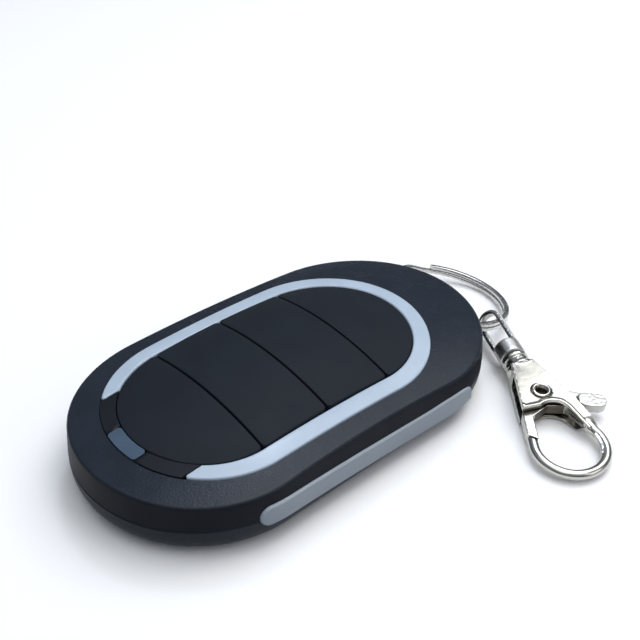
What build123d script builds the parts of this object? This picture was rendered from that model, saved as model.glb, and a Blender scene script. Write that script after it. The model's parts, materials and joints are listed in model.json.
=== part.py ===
from build123d import *
from math import asin, cos, pi, radians, sin, sqrt, tan
import os

os.makedirs("parts", exist_ok=True)

# Garage door remote on a split key ring with a swivel lobster clasp.
# Millimetres, +Z up. The origin is on the flat base, below the centre of the keypad.
# The key ring leaves the housing towards +Y, and the indicator window is at the -Y end.

# Housing outline: two end arcs joined by very slightly hollow sides
LED_END_Y = -11.7
LED_END_RADIUS = 17.95
KEY_END_Y = 17.8
KEY_END_RADIUS = 17.55
SIDE_RADIUS = 1000.0
WALL_DRAFT = 4.0

# Housing heights and walls
PART_Z = 4.9
SHELL_CROWN_Z = 11.3
CROWN_ACROSS = 80.0
CROWN_ALONG = 210.0
WALL = 1.5
ROOF = 1.8
FLOOR = 1.3
CREASE_RADIUS = 0.45
BASE_EDGE_RADIUS = 4.0
SEAM_CHAMFER = 0.18
TONGUE_HEIGHT = 0.8
TONGUE_THICKNESS = 0.6

# Light trim, bezel and indicator window, all in one band around the keypad
PILL_STRAIGHT = 21.4
BAND_OUTER = 14.55
BAND_INNER = 12.05
BAND_END_WIDTH = 2.0
TRIM_PROUD = 0.3
TRIM_EDGE_RADIUS = 0.28
BAND_DEPTH = 1.0
BAND_GAP = 0.08
TRIM_END_X = 9.2
WINDOW_HALF_WIDTH = 3.0
WINDOW_CORNER_RADIUS = 0.5
BAND_CORNER_RADIUS = 0.35
BEZEL_FLOOR = 0.45
BEZEL_SINK = 0.12
WINDOW_SINK = 0.06
PIPE_SEAT = 0.3
LIGHT_PIPE_RADIUS = 0.5
LIGHT_PIPE_Y = -24.1

# Buttons
BUTTON_COUNT = 4
BUTTON_PITCH = 10.85
BUTTON_GAP = 0.4
BUTTON_EDGE_GAP = 0.2
BUTTON_CROWN_Z = 12.5
BUTTON_ACROSS = 45.0
BUTTON_ALONG = 120.0
BUTTON_CORNER_RADIUS = 0.6
BUTTON_EDGE_RADIUS = 0.3
BUTTON_WALL = 1.2
BUTTON_TRAVEL = 0.3
FLANGE_REACH = 0.7
FLANGE_GAP = 0.1
FLANGE_Z = 7.5
POST_RADIUS = 1.2
POST_COVER = 0.6
CORNER_REACH = 0.1

# Side strips, let into both shells over the parting line
STRIP_HEIGHT = 3.2
STRIP_FRONT_Y = -15.9
STRIP_REAR_Y = 23.4
STRIP_PROUD = 0.25
STRIP_DEPTH = 0.75
STRIP_GAP = 0.06
STRIP_REAR_TAPER = 10.5

# Board, switches and power
BOARD_Z = 5.4
BOARD_THICKNESS = 0.8
BOARD_GAP = 0.4
SWITCH_SIDE = 4.5
SWITCH_HEIGHT = 1.5
SWITCH_CHAMFER = 0.5
PLUNGER_RADIUS = 1.0
PLUNGER_CLEARANCE = 0.05
PLUNGER_TOP = 8.1
PLUNGER_LENGTH = 1.1
WELL_SPARE = 0.1
LED_LENGTH = 1.6
LED_WIDTH = 0.8
LED_HEIGHT = 0.6
LED_EDGE_RADIUS = 0.2
CHIP_LENGTH = 4.9
CHIP_WIDTH = 3.9
CHIP_HEIGHT = 1.1
CHIP_CHAMFER = 0.2
CHIP_SPOT = (6.2, 5.4)
RESONATOR_LENGTH = 5.0
RESONATOR_WIDTH = 2.2
RESONATOR_HEIGHT = 1.1
RESONATOR_EDGE_RADIUS = 0.28
RESONATOR_SPOT = (-6.5, -5.4)
CELL_RADIUS = 10.0
CELL_HEIGHT = 3.2
CELL_Y = 7.5
CELL_CHAMFER = 0.3
CELL_SIDE_GAP = 0.2
CELL_LIFT = 0.3
HOLDER_WALL = 0.8
HOLDER_HEIGHT = 2.6
HOLDER_OPENING = 3.2
CONTACT_THICKNESS = 0.2
CONTACT_WIDTH = 4.0
CONTACT_FOOT = 1.0

# Housing screws
SCREW_LED_X = 6.1
SCREW_LED_EDGE = 5.95
SCREW_KEY_X = 9.5
SCREW_KEY_EDGE = 3.9
SCREW_RADIUS = 0.8
SCREW_HEAD_RADIUS = 1.5
SCREW_HEAD_HEIGHT = 0.7
SCREW_HEAD_SINK = 0.2
SCREW_TOP = 7.6
SCREW_DRIVE_WIDTH = 0.4
SCREW_DRIVE_DEPTH = 0.5
SCREW_HOLE_GAP = 0.15
BOSS_RADIUS = 1.5
BOSS_SHOULDER = 0.7

# Slot for the key ring, closed by an upright steel pin
SLOT_LOW = 2.7
SLOT_HIGH = 7.5
SLOT_HALF_WIDTH = 11.4
SLOT_BACK = 3.5
SLOT_WALL = 1.1
PIN_EDGE = 4.35
PIN_RADIUS = 1.1
PIN_SEAT = 0.9
PIN_CLEARANCE = 0.02

# Split ring: one flat wire wound twice round, leaning from the slot to the table
RING_OUTER = 9.9
RING_WIRE_WIDTH = 0.9
RING_WIRE_HEIGHT = 0.8
RING_SLIT = 0.1
RING_OFFSET = 6.95
RING_SWING = 11.5
RING_TILT = 15.3
RING_ROLL = 4.0
RING_Z = 5.5
RING_ENDS_ANGLE = 80.0
RING_CROSSOVER = 30.0
CROSSOVER_STEPS = 4

# Swivel eye
EYE_ANGLE = -102.0
EYE_ROLL = 46.0
EYE_BOW = 2.9
EYE_OUTER = 2.0
EYE_STRAP = 0.6
EYE_STRAP_WIDTH = 1.4
BOSS_START = 4.95
BOSS_LENGTH = 2.8
EYE_BOSS_RADIUS = 2.0
STEM_RADIUS = 0.95
STEM_CLEARANCE = 0.05
STEM_HEAD_RADIUS = 1.35
STEM_HEAD_LENGTH = 0.8
HEAD_CLEARANCE = 0.15

# Clasp body and hook, measured along the clasp from the ring's wire
CLASP_HEADING = -22.9
TABLE_GAP = 0.25
COLLAR_START = 8.05
COLLAR_LENGTH = 1.9
COLLAR_RADIUS = 2.1
COLLAR_CORE_RADIUS = 1.8
COLLAR_RIB = 0.65
SHOULDER_X = 9.95
SHOULDER_HALF_WIDTH = 1.75
BODY_THICKNESS = 3.8
TAPER_START_X = 19.05
LIMB_END_X = 24.05
LIMB_THICKNESS = 2.0
HOOK_X = 25.95
HOOK_OUTER = 5.9
HOOK_BAR_RADIUS = 0.85
ARCH_X = 21.15
ARCH_RADIUS = 2.5
GATE_GAP_START = 18.95
HOOK_TIP_X = 23.55
HOOK_TIP_ANGLE = 45.0
HOOK_TIP_CUT = 3.4
CHANNEL_START = 11.95
CHANNEL_HEIGHT = 1.9
CHANNEL_SIDE_WALL = 0.9
TAB_WINDOW = (14.45, 20.55)
TIP_CLEARANCE = 0.15

# Lever: gate, hub and thumb tab in one piece, turning on a tubular rivet
RIVET_X = 16.35
RIVET_HEAD_RADIUS = 1.45
RIVET_RADIUS = 1.1
RIVET_BORE_RADIUS = 0.8
RIVET_HEAD_HEIGHT = 0.18
LEVER_THICKNESS = 1.7
LEVER_CLEARANCE = 0.06
HUB_RADIUS = 2.1
GATE_WIDTH = 1.5
GATE_INSET = 0.1
GATE_ELBOW_X = 19.35
GATE_TIP_CUT = 6.0
TAB_TIP = (19.85, 7.4)
TAB_RADIUS = 1.3
TAB_THICKNESS = 2.4
TAB_ROOT = (19.2, 6.0)
SPRING_THICKNESS = 0.25
SPRING_WIDTH = 1.4
SPRING_POINTS = [(13.3, -1.9), (13.45, 0.2), (14.85, 1.95), (15.4, 2.8)]

BOARD_TOP = BOARD_Z + BOARD_THICKNESS
PILL_HALF = PILL_STRAIGHT / 2
PIN_Y = KEY_END_Y + KEY_END_RADIUS - PIN_EDGE
SLOT_BACK_Y = PIN_Y - SLOT_BACK
SCREW_LED_Y = LED_END_Y - LED_END_RADIUS + SCREW_LED_EDGE
SCREW_KEY_Y = SLOT_BACK_Y - SCREW_KEY_EDGE
SCREW_SPOTS = [(-SCREW_LED_X, SCREW_LED_Y), (SCREW_LED_X, SCREW_LED_Y),
               (-SCREW_KEY_X, SCREW_KEY_Y), (SCREW_KEY_X, SCREW_KEY_Y)]
FAR = 60.0


def body_outline(height, grow):
    """Housing outline at a height, grown outwards."""
    led_reach = LED_END_RADIUS + SIDE_RADIUS
    key_reach = KEY_END_RADIUS + SIDE_RADIUS
    span = KEY_END_Y - LED_END_Y
    rise = (led_reach**2 - key_reach**2 + span**2) / (2 * span)
    side_centre = Vector(sqrt(led_reach**2 - rise**2), LED_END_Y + rise)
    to_led = (Vector(0, LED_END_Y) - side_centre).normalized()
    to_key = (Vector(0, KEY_END_Y) - side_centre).normalized()
    led_join = side_centre + to_led * (SIDE_RADIUS - grow)
    key_join = side_centre + to_key * (SIDE_RADIUS - grow)
    side_middle = side_centre + (to_led + to_key).normalized() * (SIDE_RADIUS - grow)
    with BuildSketch(Plane.XY.offset(height)) as outline:
        with BuildLine():
            ThreePointArc(led_join, side_middle, key_join)
            mirror(about=Plane.YZ)
            ThreePointArc((-led_join.X, led_join.Y), (0, LED_END_Y - LED_END_RADIUS - grow), led_join)
            ThreePointArc((-key_join.X, key_join.Y), (0, KEY_END_Y + KEY_END_RADIUS + grow), key_join)
        make_face()
    return outline.sketch


def pill(height, radius):
    """Keypad outline: a straight-sided oval of the given half width."""
    with BuildSketch(Plane.XY.offset(height)) as outline:
        SlotCenterToCenter(PILL_STRAIGHT, 2 * radius, rotation=90)
    return outline.sketch


def band_rim(height, grow):
    """Outer outline of the band, which is narrower round the indicator's end of the keypad."""
    shorter = BAND_OUTER - BAND_INNER - BAND_END_WIDTH
    with BuildSketch(Plane.XY.offset(height)) as outline:
        with Locations((0, shorter / 2)):
            SlotCenterToCenter(PILL_STRAIGHT - shorter, 2 * (BAND_OUTER + grow), rotation=90)
    return outline.sketch


def crown(top_z, across, along):
    """Barrel whose upper side is a surface domed both across and along the housing."""
    end_z = top_z - along + sqrt(along**2 - FAR**2)
    with BuildPart() as barrel:
        with BuildSketch(Plane.YZ):
            with BuildLine():
                ThreePointArc((-FAR, end_z), (0, top_z), (FAR, end_z))
                Polyline((FAR, end_z), (FAR, top_z - across), (-FAR, top_z - across), (-FAR, end_z))
            make_face()
        revolve(axis=Axis((0, 0, top_z - across), (0, 1, 0)))
    return barrel.part


def shell_crown(drop):
    """The housing's domed top surface, lowered by a drop."""
    return crown(SHELL_CROWN_Z - drop, CROWN_ACROSS, CROWN_ALONG)


def button_crown(drop):
    """The keypad's more strongly domed top surface, lowered by a drop."""
    return crown(BUTTON_CROWN_Z - drop, BUTTON_ACROSS, BUTTON_ALONG)


def under_crown(outlines, low_z, top_surface):
    """Prism over an outline, from a height up to a domed surface."""
    with BuildPart() as dome:
        extrude(outlines, amount=BUTTON_CROWN_Z - low_z)
        add(top_surface, mode=Mode.INTERSECT)
    return dome.part


def block(low, high):
    """Plain block between two corners."""
    with BuildPart() as solid:
        with Locations(low):
            Box(*(b - a for a, b in zip(low, high)), align=(Align.MIN, Align.MIN, Align.MIN))
    return solid.part


def post(spot, radius, low_z, high_z):
    """Upright round bar."""
    with BuildPart() as bar:
        with Locations((spot[0], spot[1], low_z)):
            Cylinder(radius, high_z - low_z, align=(Align.CENTER, Align.CENTER, Align.MIN))
    return bar.part


def prism(outline, height):
    """Straight prism over an outline."""
    with BuildPart() as solid:
        extrude(outline, amount=height)
    return solid.part


def strip_form(gap):
    """One side strip's rounded form on the +X side, grown by a gap all round."""
    half = STRIP_HEIGHT / 2 + gap
    front = STRIP_FRONT_Y - gap
    rear = STRIP_REAR_Y + gap
    with BuildPart() as form:
        with BuildSketch(Plane.YZ):
            with BuildLine():
                top = Line((front + half, PART_Z + half), (rear - STRIP_REAR_TAPER, PART_Z + half))
                nose = Spline(top @ 1, (rear, PART_Z - half / 2), tangents=((1, 0), (0, -1)))
                Line(nose @ 1, (rear, PART_Z - half))
                low = Line((rear, PART_Z - half), (front + half, PART_Z - half))
                ThreePointArc(low @ 1, (front, PART_Z), top @ 0)
            make_face()
        extrude(amount=FAR)
        add(prism(body_outline(0, STRIP_PROUD), BUTTON_CROWN_Z), mode=Mode.INTERSECT)
        add(prism(body_outline(0, -STRIP_DEPTH - gap), BUTTON_CROWN_Z), mode=Mode.SUBTRACT)
    return form.part


def drafted_block(grow):
    """Upper housing block, with the draft that lets the moulding leave its tool."""
    with BuildPart() as drafted:
        extrude(body_outline(PART_Z, grow), amount=BUTTON_CROWN_Z - PART_Z, taper=WALL_DRAFT)
    return drafted.part


def band_outline(half_width, keep_end, corner_radius):
    """Plan of the band round the keypad: its -Y end alone, or all but that end."""
    with BuildSketch(Plane.XY.offset(BOARD_TOP)) as outline:
        add(band_rim(BOARD_TOP, 0))
        add(pill(BOARD_TOP, BAND_INNER), mode=Mode.SUBTRACT)
        with Locations((0, -PILL_HALF)):
            Rectangle(2 * half_width, FAR, align=(Align.CENTER, Align.MAX),
                      mode=Mode.INTERSECT if keep_end else Mode.SUBTRACT)
        corners = [v for v in outline.vertices() if abs(abs(v.X) - half_width) < BAND_GAP]
        fillet(corners, corner_radius)
    return outline.sketch


def band(outline, low_drop, top_surface):
    """A piece of the band, between the lowered housing surface and its own top surface."""
    with BuildPart() as ring:
        add(under_crown(outline, BOARD_TOP, top_surface))
        add(shell_crown(low_drop), mode=Mode.SUBTRACT)
    return ring.part


def keep(name, part):
    """Label a finished piece and write it out."""
    part.label = name
    export_step(part, f"parts/{name}.step")
    print(name, round(part.volume, 2), len(part.solids()))


# Forms shared by both shells
strip_notch = strip_form(STRIP_GAP)
slot_cut = block((-SLOT_HALF_WIDTH, SLOT_BACK_Y, SLOT_LOW), (SLOT_HALF_WIDTH, FAR, SLOT_HIGH))
key_end = block((-FAR, SLOT_BACK_Y - SLOT_WALL, 0), (FAR, FAR, BUTTON_CROWN_Z))
pin_hole = post((0, PIN_Y), PIN_RADIUS + PIN_CLEARANCE, SLOT_LOW - PIN_SEAT, SLOT_HIGH + PIN_SEAT)

# Lower shell: a tray with rounded base edges, screw bosses and a cell holder
CELL_Z = FLOOR + CELL_LIFT
HOLDER_RADIUS = CELL_RADIUS + CELL_SIDE_GAP
CONTACT_LEG_Y = CELL_Y - HOLDER_RADIUS - HOLDER_WALL - 2 * CONTACT_THICKNESS
SCREW_HOLE_RADIUS = SCREW_RADIUS + SCREW_HOLE_GAP

with BuildPart() as tray_hollow:
    extrude(body_outline(FLOOR, -WALL), amount=PART_Z)
    fillet(tray_hollow.faces().sort_by(Axis.Z)[0].edges(), BASE_EDGE_RADIUS - WALL)
    add(key_end, mode=Mode.SUBTRACT)

with BuildPart() as bottom_shell:
    extrude(body_outline(0, 0), amount=PART_Z)
    fillet(bottom_shell.faces().sort_by(Axis.Z)[0].edges(), BASE_EDGE_RADIUS)
    chamfer(bottom_shell.faces().sort_by(Axis.Z)[-1].edges(), SEAM_CHAMFER)
    add(tray_hollow.part, mode=Mode.SUBTRACT)
    with BuildSketch(Plane.XY.offset(FLOOR)):
        with Locations((0, CELL_Y)):
            Circle(HOLDER_RADIUS + HOLDER_WALL)
            Circle(HOLDER_RADIUS, mode=Mode.SUBTRACT)
        with Locations((0, CELL_Y - HOLDER_RADIUS)):
            Rectangle(CONTACT_WIDTH + 2 * CELL_SIDE_GAP, HOLDER_OPENING, mode=Mode.SUBTRACT)
    extrude(amount=HOLDER_HEIGHT)
    with BuildSketch(Plane.XY.offset(FLOOR)):
        with Locations(*SCREW_SPOTS):
            Circle(BOSS_RADIUS)
    extrude(amount=BOARD_Z - FLOOR)
    with Locations(*[(x, y, 0) for x, y in SCREW_SPOTS]):
        Cylinder(SCREW_HEAD_RADIUS + SCREW_HOLE_GAP, SCREW_HEAD_SINK + SCREW_HEAD_HEIGHT,
                 align=(Align.CENTER, Align.CENTER, Align.MIN), mode=Mode.SUBTRACT)
        Cylinder(SCREW_HOLE_RADIUS, BOARD_Z, align=(Align.CENTER, Align.CENTER, Align.MIN),
                 mode=Mode.SUBTRACT)
    with BuildSketch(Plane.XY.offset(PART_Z)):
        add(body_outline(PART_Z, TONGUE_THICKNESS - WALL))
        add(body_outline(PART_Z, -WALL), mode=Mode.SUBTRACT)
        with Locations((0, SLOT_BACK_Y - SLOT_WALL)):
            Rectangle(FAR, FAR, align=(Align.CENTER, Align.MIN), mode=Mode.SUBTRACT)
    extrude(amount=TONGUE_HEIGHT)
    add(slot_cut, mode=Mode.SUBTRACT)
    add(pin_hole, mode=Mode.SUBTRACT)
    add(strip_notch, mode=Mode.SUBTRACT)
    add(mirror(strip_notch, about=Plane.YZ, mode=Mode.PRIVATE), mode=Mode.SUBTRACT)
keep("bottom_shell", bottom_shell.part)

# Upper shell: a domed cover with the keypad opening and a rebate for the band
with BuildPart() as cover_hollow:
    add(drafted_block(-WALL))
    add(shell_crown(ROOF), mode=Mode.INTERSECT)
    add(key_end, mode=Mode.SUBTRACT)

with BuildPart() as rebate:
    add(prism(band_rim(BOARD_TOP, BAND_GAP), BUTTON_CROWN_Z))
    add(shell_crown(BAND_DEPTH), mode=Mode.SUBTRACT)

with BuildPart() as tongue_rebate:
    add(prism(body_outline(PART_Z, TONGUE_THICKNESS - WALL + BAND_GAP), TONGUE_HEIGHT + BAND_GAP))
    add(key_end, mode=Mode.SUBTRACT)

with BuildPart() as top_shell:
    add(drafted_block(0))
    chamfer(top_shell.faces().sort_by(Axis.Z)[0].edges(), SEAM_CHAMFER)
    add(shell_crown(0), mode=Mode.INTERSECT)
    fillet(top_shell.faces().sort_by(Axis.Z)[-1].edges(), CREASE_RADIUS)
    add(cover_hollow.part, mode=Mode.SUBTRACT)
    add(tongue_rebate.part, mode=Mode.SUBTRACT)
    with BuildSketch(Plane.XY.offset(BOARD_TOP)):
        with Locations(*SCREW_SPOTS):
            Circle(BOSS_RADIUS)
    extrude(amount=SCREW_TOP + BOSS_SHOULDER - BOARD_TOP)
    with Locations(*[(x, y, BOARD_TOP) for x, y in SCREW_SPOTS]):
        Cylinder(SCREW_RADIUS + PIN_CLEARANCE, SCREW_TOP - BOARD_TOP + PIN_CLEARANCE,
                 align=(Align.CENTER, Align.CENTER, Align.MIN), mode=Mode.SUBTRACT)
    add(prism(pill(PART_Z, BAND_INNER), BUTTON_CROWN_Z), mode=Mode.SUBTRACT)
    add(rebate.part, mode=Mode.SUBTRACT)
    with Locations((0, LIGHT_PIPE_Y, BOARD_TOP)):
        Cylinder(LIGHT_PIPE_RADIUS + BAND_GAP, BOARD_TOP, mode=Mode.SUBTRACT)
    add(slot_cut, mode=Mode.SUBTRACT)
    add(pin_hole, mode=Mode.SUBTRACT)
    add(strip_notch, mode=Mode.SUBTRACT)
    add(mirror(strip_notch, about=Plane.YZ, mode=Mode.PRIVATE), mode=Mode.SUBTRACT)
keep("top_shell", top_shell.part)

# Light trim: the U-shaped band round the keypad, standing a little proud
with BuildPart() as trim_ring:
    add(band(band_outline(TRIM_END_X, False, BAND_CORNER_RADIUS), BAND_DEPTH, shell_crown(-TRIM_PROUD)))
    fillet(trim_ring.faces().sort_by(Axis.Z)[-1].edges(), TRIM_EDGE_RADIUS)
keep("trim_ring", trim_ring.part)

# Dark bezel that closes the band at the indicator, and the window it carries
BEZEL_STEP = BAND_DEPTH - BEZEL_FLOOR
LIGHT_PIPE_TOP = SHELL_CROWN_Z - LIGHT_PIPE_Y**2 / (2 * CROWN_ALONG) - PIPE_SEAT
pipe_hole = post((0, LIGHT_PIPE_Y), LIGHT_PIPE_RADIUS + BAND_GAP, BOARD_TOP, BUTTON_CROWN_Z)
window_seat = block((-WINDOW_HALF_WIDTH - BAND_GAP, -FAR, 0),
                    (WINDOW_HALF_WIDTH + BAND_GAP, -PILL_HALF, BUTTON_CROWN_Z))

with BuildPart() as window_space:
    add(window_seat)
    add(shell_crown(BEZEL_STEP), mode=Mode.SUBTRACT)

with BuildPart() as led_bezel:
    add(band(band_outline(TRIM_END_X - BAND_GAP, True, BAND_GAP), BAND_DEPTH,
             shell_crown(BEZEL_SINK - TRIM_PROUD)))
    add(window_space.part, mode=Mode.SUBTRACT)
    add(pipe_hole, mode=Mode.SUBTRACT)
keep("led_bezel", led_bezel.part)

with BuildPart() as led_window:
    add(band(band_outline(WINDOW_HALF_WIDTH, True, WINDOW_CORNER_RADIUS), BEZEL_STEP,
             shell_crown(WINDOW_SINK - TRIM_PROUD)))
    add(post((0, LIGHT_PIPE_Y), LIGHT_PIPE_RADIUS, BOARD_TOP + LED_HEIGHT + BAND_GAP, LIGHT_PIPE_TOP))
keep("led_window", led_window.part)

# Side strips
keep("side_strip_right", strip_form(0))
with BuildPart() as side_strip_left:
    add(mirror(strip_form(0), about=Plane.YZ, mode=Mode.PRIVATE))
keep("side_strip_left", side_strip_left.part)

# Buttons: domed caps with a retaining flange, and the switches that they press
SWITCH_YS = [(row - (BUTTON_COUNT - 1) / 2) * BUTTON_PITCH for row in range(BUTTON_COUNT)]
FLANGE_TOP = shell_crown(ROOF + FLANGE_GAP)


def button_plan(row, edge, half_gap, corner_radius):
    """Plan of one button: its share of a keypad oval between two straight gaps."""
    low = (row - BUTTON_COUNT / 2) * BUTTON_PITCH + half_gap if row > 0 else -FAR
    high = (row + 1 - BUTTON_COUNT / 2) * BUTTON_PITCH - half_gap if row < BUTTON_COUNT - 1 else FAR
    with BuildSketch(Plane.XY.offset(FLANGE_Z)) as plan:
        add(pill(FLANGE_Z, edge))
        with Locations((0, low)):
            Rectangle(FAR, high - low, align=(Align.CENTER, Align.MIN), mode=Mode.INTERSECT)
        fillet([v for v in plan.vertices() if min(abs(v.Y - low), abs(v.Y - high)) < CORNER_REACH],
               corner_radius)
    return plan.sketch


def button(row):
    """One hollow button cap with its flange, and the post over its switch."""
    edge = BAND_INNER - BUTTON_EDGE_GAP
    half_gap = BUTTON_GAP / 2
    with BuildPart() as button_post:
        add(post((0, SWITCH_YS[row]), POST_RADIUS, PLUNGER_TOP, BUTTON_CROWN_Z))
        add(button_crown(POST_COVER), mode=Mode.INTERSECT)
    with BuildPart() as cap:
        add(under_crown(button_plan(row, edge, half_gap, BUTTON_CORNER_RADIUS), FLANGE_Z,
                        button_crown(0)))
        fillet(cap.faces().sort_by(Axis.Z)[-1].edges(), BUTTON_EDGE_RADIUS)
        add(under_crown(button_plan(row, BAND_INNER + FLANGE_REACH, half_gap, BUTTON_CORNER_RADIUS),
                        FLANGE_Z, FLANGE_TOP))
        add(under_crown(button_plan(row, edge - BUTTON_WALL, half_gap + BUTTON_WALL, BUTTON_EDGE_RADIUS),
                        FLANGE_Z, button_crown(BUTTON_WALL)), mode=Mode.SUBTRACT)
        add(button_post.part)
    return cap.part


def switch_base(spot_y):
    """Tactile switch body with the round well that its plunger slides in."""
    with BuildPart() as base:
        with Locations((0, spot_y, BOARD_TOP)):
            Box(SWITCH_SIDE, SWITCH_SIDE, SWITCH_HEIGHT, align=(Align.CENTER, Align.CENTER, Align.MIN))
        chamfer(base.edges().filter_by(Axis.Z), SWITCH_CHAMFER)
        add(post((0, spot_y), PLUNGER_RADIUS + PLUNGER_CLEARANCE,
                 PLUNGER_TOP - PLUNGER_LENGTH - BUTTON_TRAVEL - WELL_SPARE, PLUNGER_TOP),
            mode=Mode.SUBTRACT)
    return base.part


for row in range(BUTTON_COUNT):
    keep(f"button_{row + 1}", button(row))
    keep(f"tact_switch_{row + 1}", switch_base(SWITCH_YS[row]))
    keep(f"switch_plunger_{row + 1}",
         post((0, SWITCH_YS[row]), PLUNGER_RADIUS, PLUNGER_TOP - PLUNGER_LENGTH, PLUNGER_TOP))

# Circuit board, screwed between the two shells, with the parts that it carries
with BuildPart() as circuit_board:
    with BuildSketch(Plane.XY.offset(BOARD_Z)):
        add(body_outline(BOARD_Z, -WALL - BOARD_GAP))
        with Locations((0, SLOT_BACK_Y - SLOT_WALL - BOARD_GAP)):
            Rectangle(FAR, FAR, align=(Align.CENTER, Align.MIN), mode=Mode.SUBTRACT)
        with Locations(*SCREW_SPOTS):
            Circle(SCREW_HOLE_RADIUS, mode=Mode.SUBTRACT)
    extrude(amount=BOARD_THICKNESS)
keep("circuit_board", circuit_board.part)

with BuildPart() as indicator_led:
    with Locations((0, LIGHT_PIPE_Y, BOARD_TOP)):
        Box(LED_LENGTH, LED_WIDTH, LED_HEIGHT, align=(Align.CENTER, Align.CENTER, Align.MIN))
    fillet(indicator_led.edges().filter_by(Axis.Z), LED_EDGE_RADIUS)
keep("indicator_led", indicator_led.part)

with BuildPart() as radio_chip:
    with Locations((*CHIP_SPOT, BOARD_TOP)):
        Box(CHIP_WIDTH, CHIP_LENGTH, CHIP_HEIGHT, align=(Align.CENTER, Align.CENTER, Align.MIN))
    chamfer(radio_chip.faces().sort_by(Axis.Z)[-1].edges(), CHIP_CHAMFER)
keep("radio_chip", radio_chip.part)

with BuildPart() as resonator:
    with BuildSketch(Plane.XY.offset(BOARD_TOP)):
        with Locations(RESONATOR_SPOT):
            SlotOverall(RESONATOR_LENGTH, RESONATOR_WIDTH, rotation=90)
    extrude(amount=RESONATOR_HEIGHT)
    fillet(resonator.faces().sort_by(Axis.Z)[-1].edges(), RESONATOR_EDGE_RADIUS)
keep("resonator", resonator.part)

with BuildPart() as coin_cell:
    add(post((0, CELL_Y), CELL_RADIUS, CELL_Z, CELL_Z + CELL_HEIGHT))
    chamfer(coin_cell.faces().sort_by(Axis.Z)[0].edges(), CELL_CHAMFER)
    fillet(coin_cell.faces().sort_by(Axis.Z)[-1].edges(), CELL_CHAMFER)
keep("coin_cell", coin_cell.part)

# Lower contact: a strip on the floor below the cell, with a leg up to the board
with BuildPart() as contact_minus:
    with Locations((0, CONTACT_LEG_Y, FLOOR)):
        Box(CONTACT_WIDTH, CELL_Y - CONTACT_LEG_Y + CONTACT_WIDTH, CONTACT_THICKNESS,
            align=(Align.CENTER, Align.MIN, Align.MIN))
        Box(CONTACT_WIDTH, CONTACT_THICKNESS, BOARD_Z - FLOOR,
            align=(Align.CENTER, Align.MIN, Align.MIN))
    add(post((0, CELL_Y), CONTACT_FOOT, FLOOR, CELL_Z))
keep("contact_minus", contact_minus.part)

# Upper contact: a bridge from the board down onto the cell
CELL_TOP = CELL_Z + CELL_HEIGHT
with BuildPart() as contact_plus:
    with Locations((0, CELL_Y, CELL_TOP)):
        Box(CELL_RADIUS, CONTACT_WIDTH, CONTACT_THICKNESS, align=(Align.CENTER, Align.CENTER, Align.MIN))
    with Locations((-CELL_RADIUS / 2, CELL_Y, CELL_TOP), (CELL_RADIUS / 2, CELL_Y, CELL_TOP)):
        Box(CONTACT_FOOT, CONTACT_WIDTH, BOARD_Z - CELL_TOP,
            align=(Align.CENTER, Align.CENTER, Align.MIN))
keep("contact_plus", contact_plus.part)

with BuildPart() as housing_screws:
    for x, y in SCREW_SPOTS:
        add(post((x, y), SCREW_HEAD_RADIUS, SCREW_HEAD_SINK, SCREW_HEAD_SINK + SCREW_HEAD_HEIGHT))
        add(post((x, y), SCREW_RADIUS, SCREW_HEAD_SINK, SCREW_TOP))
    with Locations(*[(x, y, SCREW_HEAD_SINK) for x, y in SCREW_SPOTS]):
        Box(2 * SCREW_RADIUS, SCREW_DRIVE_WIDTH, SCREW_DRIVE_DEPTH, mode=Mode.SUBTRACT)
        Box(SCREW_DRIVE_WIDTH, 2 * SCREW_RADIUS, SCREW_DRIVE_DEPTH, mode=Mode.SUBTRACT)
keep("housing_screws", housing_screws.part)

keep("ring_pin", post((0, PIN_Y), PIN_RADIUS, SLOT_LOW - PIN_SEAT, SLOT_HIGH + PIN_SEAT))

# Split ring: two flat turns of one wire, joined where it crosses from one to the other
swing = radians(RING_SWING)
tilt = radians(RING_TILT)
ring_roll = radians(RING_ROLL)
ring_out = Vector(-sin(swing) * cos(tilt), cos(swing) * cos(tilt), -sin(tilt))
ring_level = Vector(-sin(swing) * sin(tilt), cos(swing) * sin(tilt), cos(tilt))
ring_up = ring_level * cos(ring_roll) - ring_level.cross(ring_out) * sin(ring_roll)
ring_across = ring_up.cross(ring_out)
ring_centre = Vector(0, PIN_Y, RING_Z) + ring_out * RING_OFFSET
RING_WIRE_AT = RING_OUTER - RING_WIRE_WIDTH / 2
TURN_OFFSET = (RING_WIRE_HEIGHT + RING_SLIT) / 2


def ring_radial(angle):
    """Direction from the ring's centre to its wire, at an angle from the side away from the pin."""
    return ring_out * cos(radians(angle)) + ring_across * sin(radians(angle))


def ring_section(angle, lift):
    """The wire's flat section at an angle round the ring, lifted from the ring's middle plane."""
    radial = ring_radial(angle)
    with BuildSketch(Plane(ring_centre, x_dir=radial, z_dir=radial.cross(ring_up))) as section:
        with Locations((RING_WIRE_AT, lift)):
            Rectangle(RING_WIRE_WIDTH, RING_WIRE_HEIGHT)
    return section.sketch


with BuildPart() as split_ring:
    for lift in (-TURN_OFFSET, TURN_OFFSET):
        add(ring_section(RING_ENDS_ANGLE, lift))
        revolve(axis=Axis(ring_centre, ring_up), revolution_arc=360 - RING_CROSSOVER)
    loft([ring_section(RING_ENDS_ANGLE - RING_CROSSOVER * share, TURN_OFFSET * cos(pi * share))
          for share in (step / CROSSOVER_STEPS for step in range(CROSSOVER_STEPS + 1))])
keep("split_ring", split_ring.part)
print("gap between the ring's turns", RING_SLIT)

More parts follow.
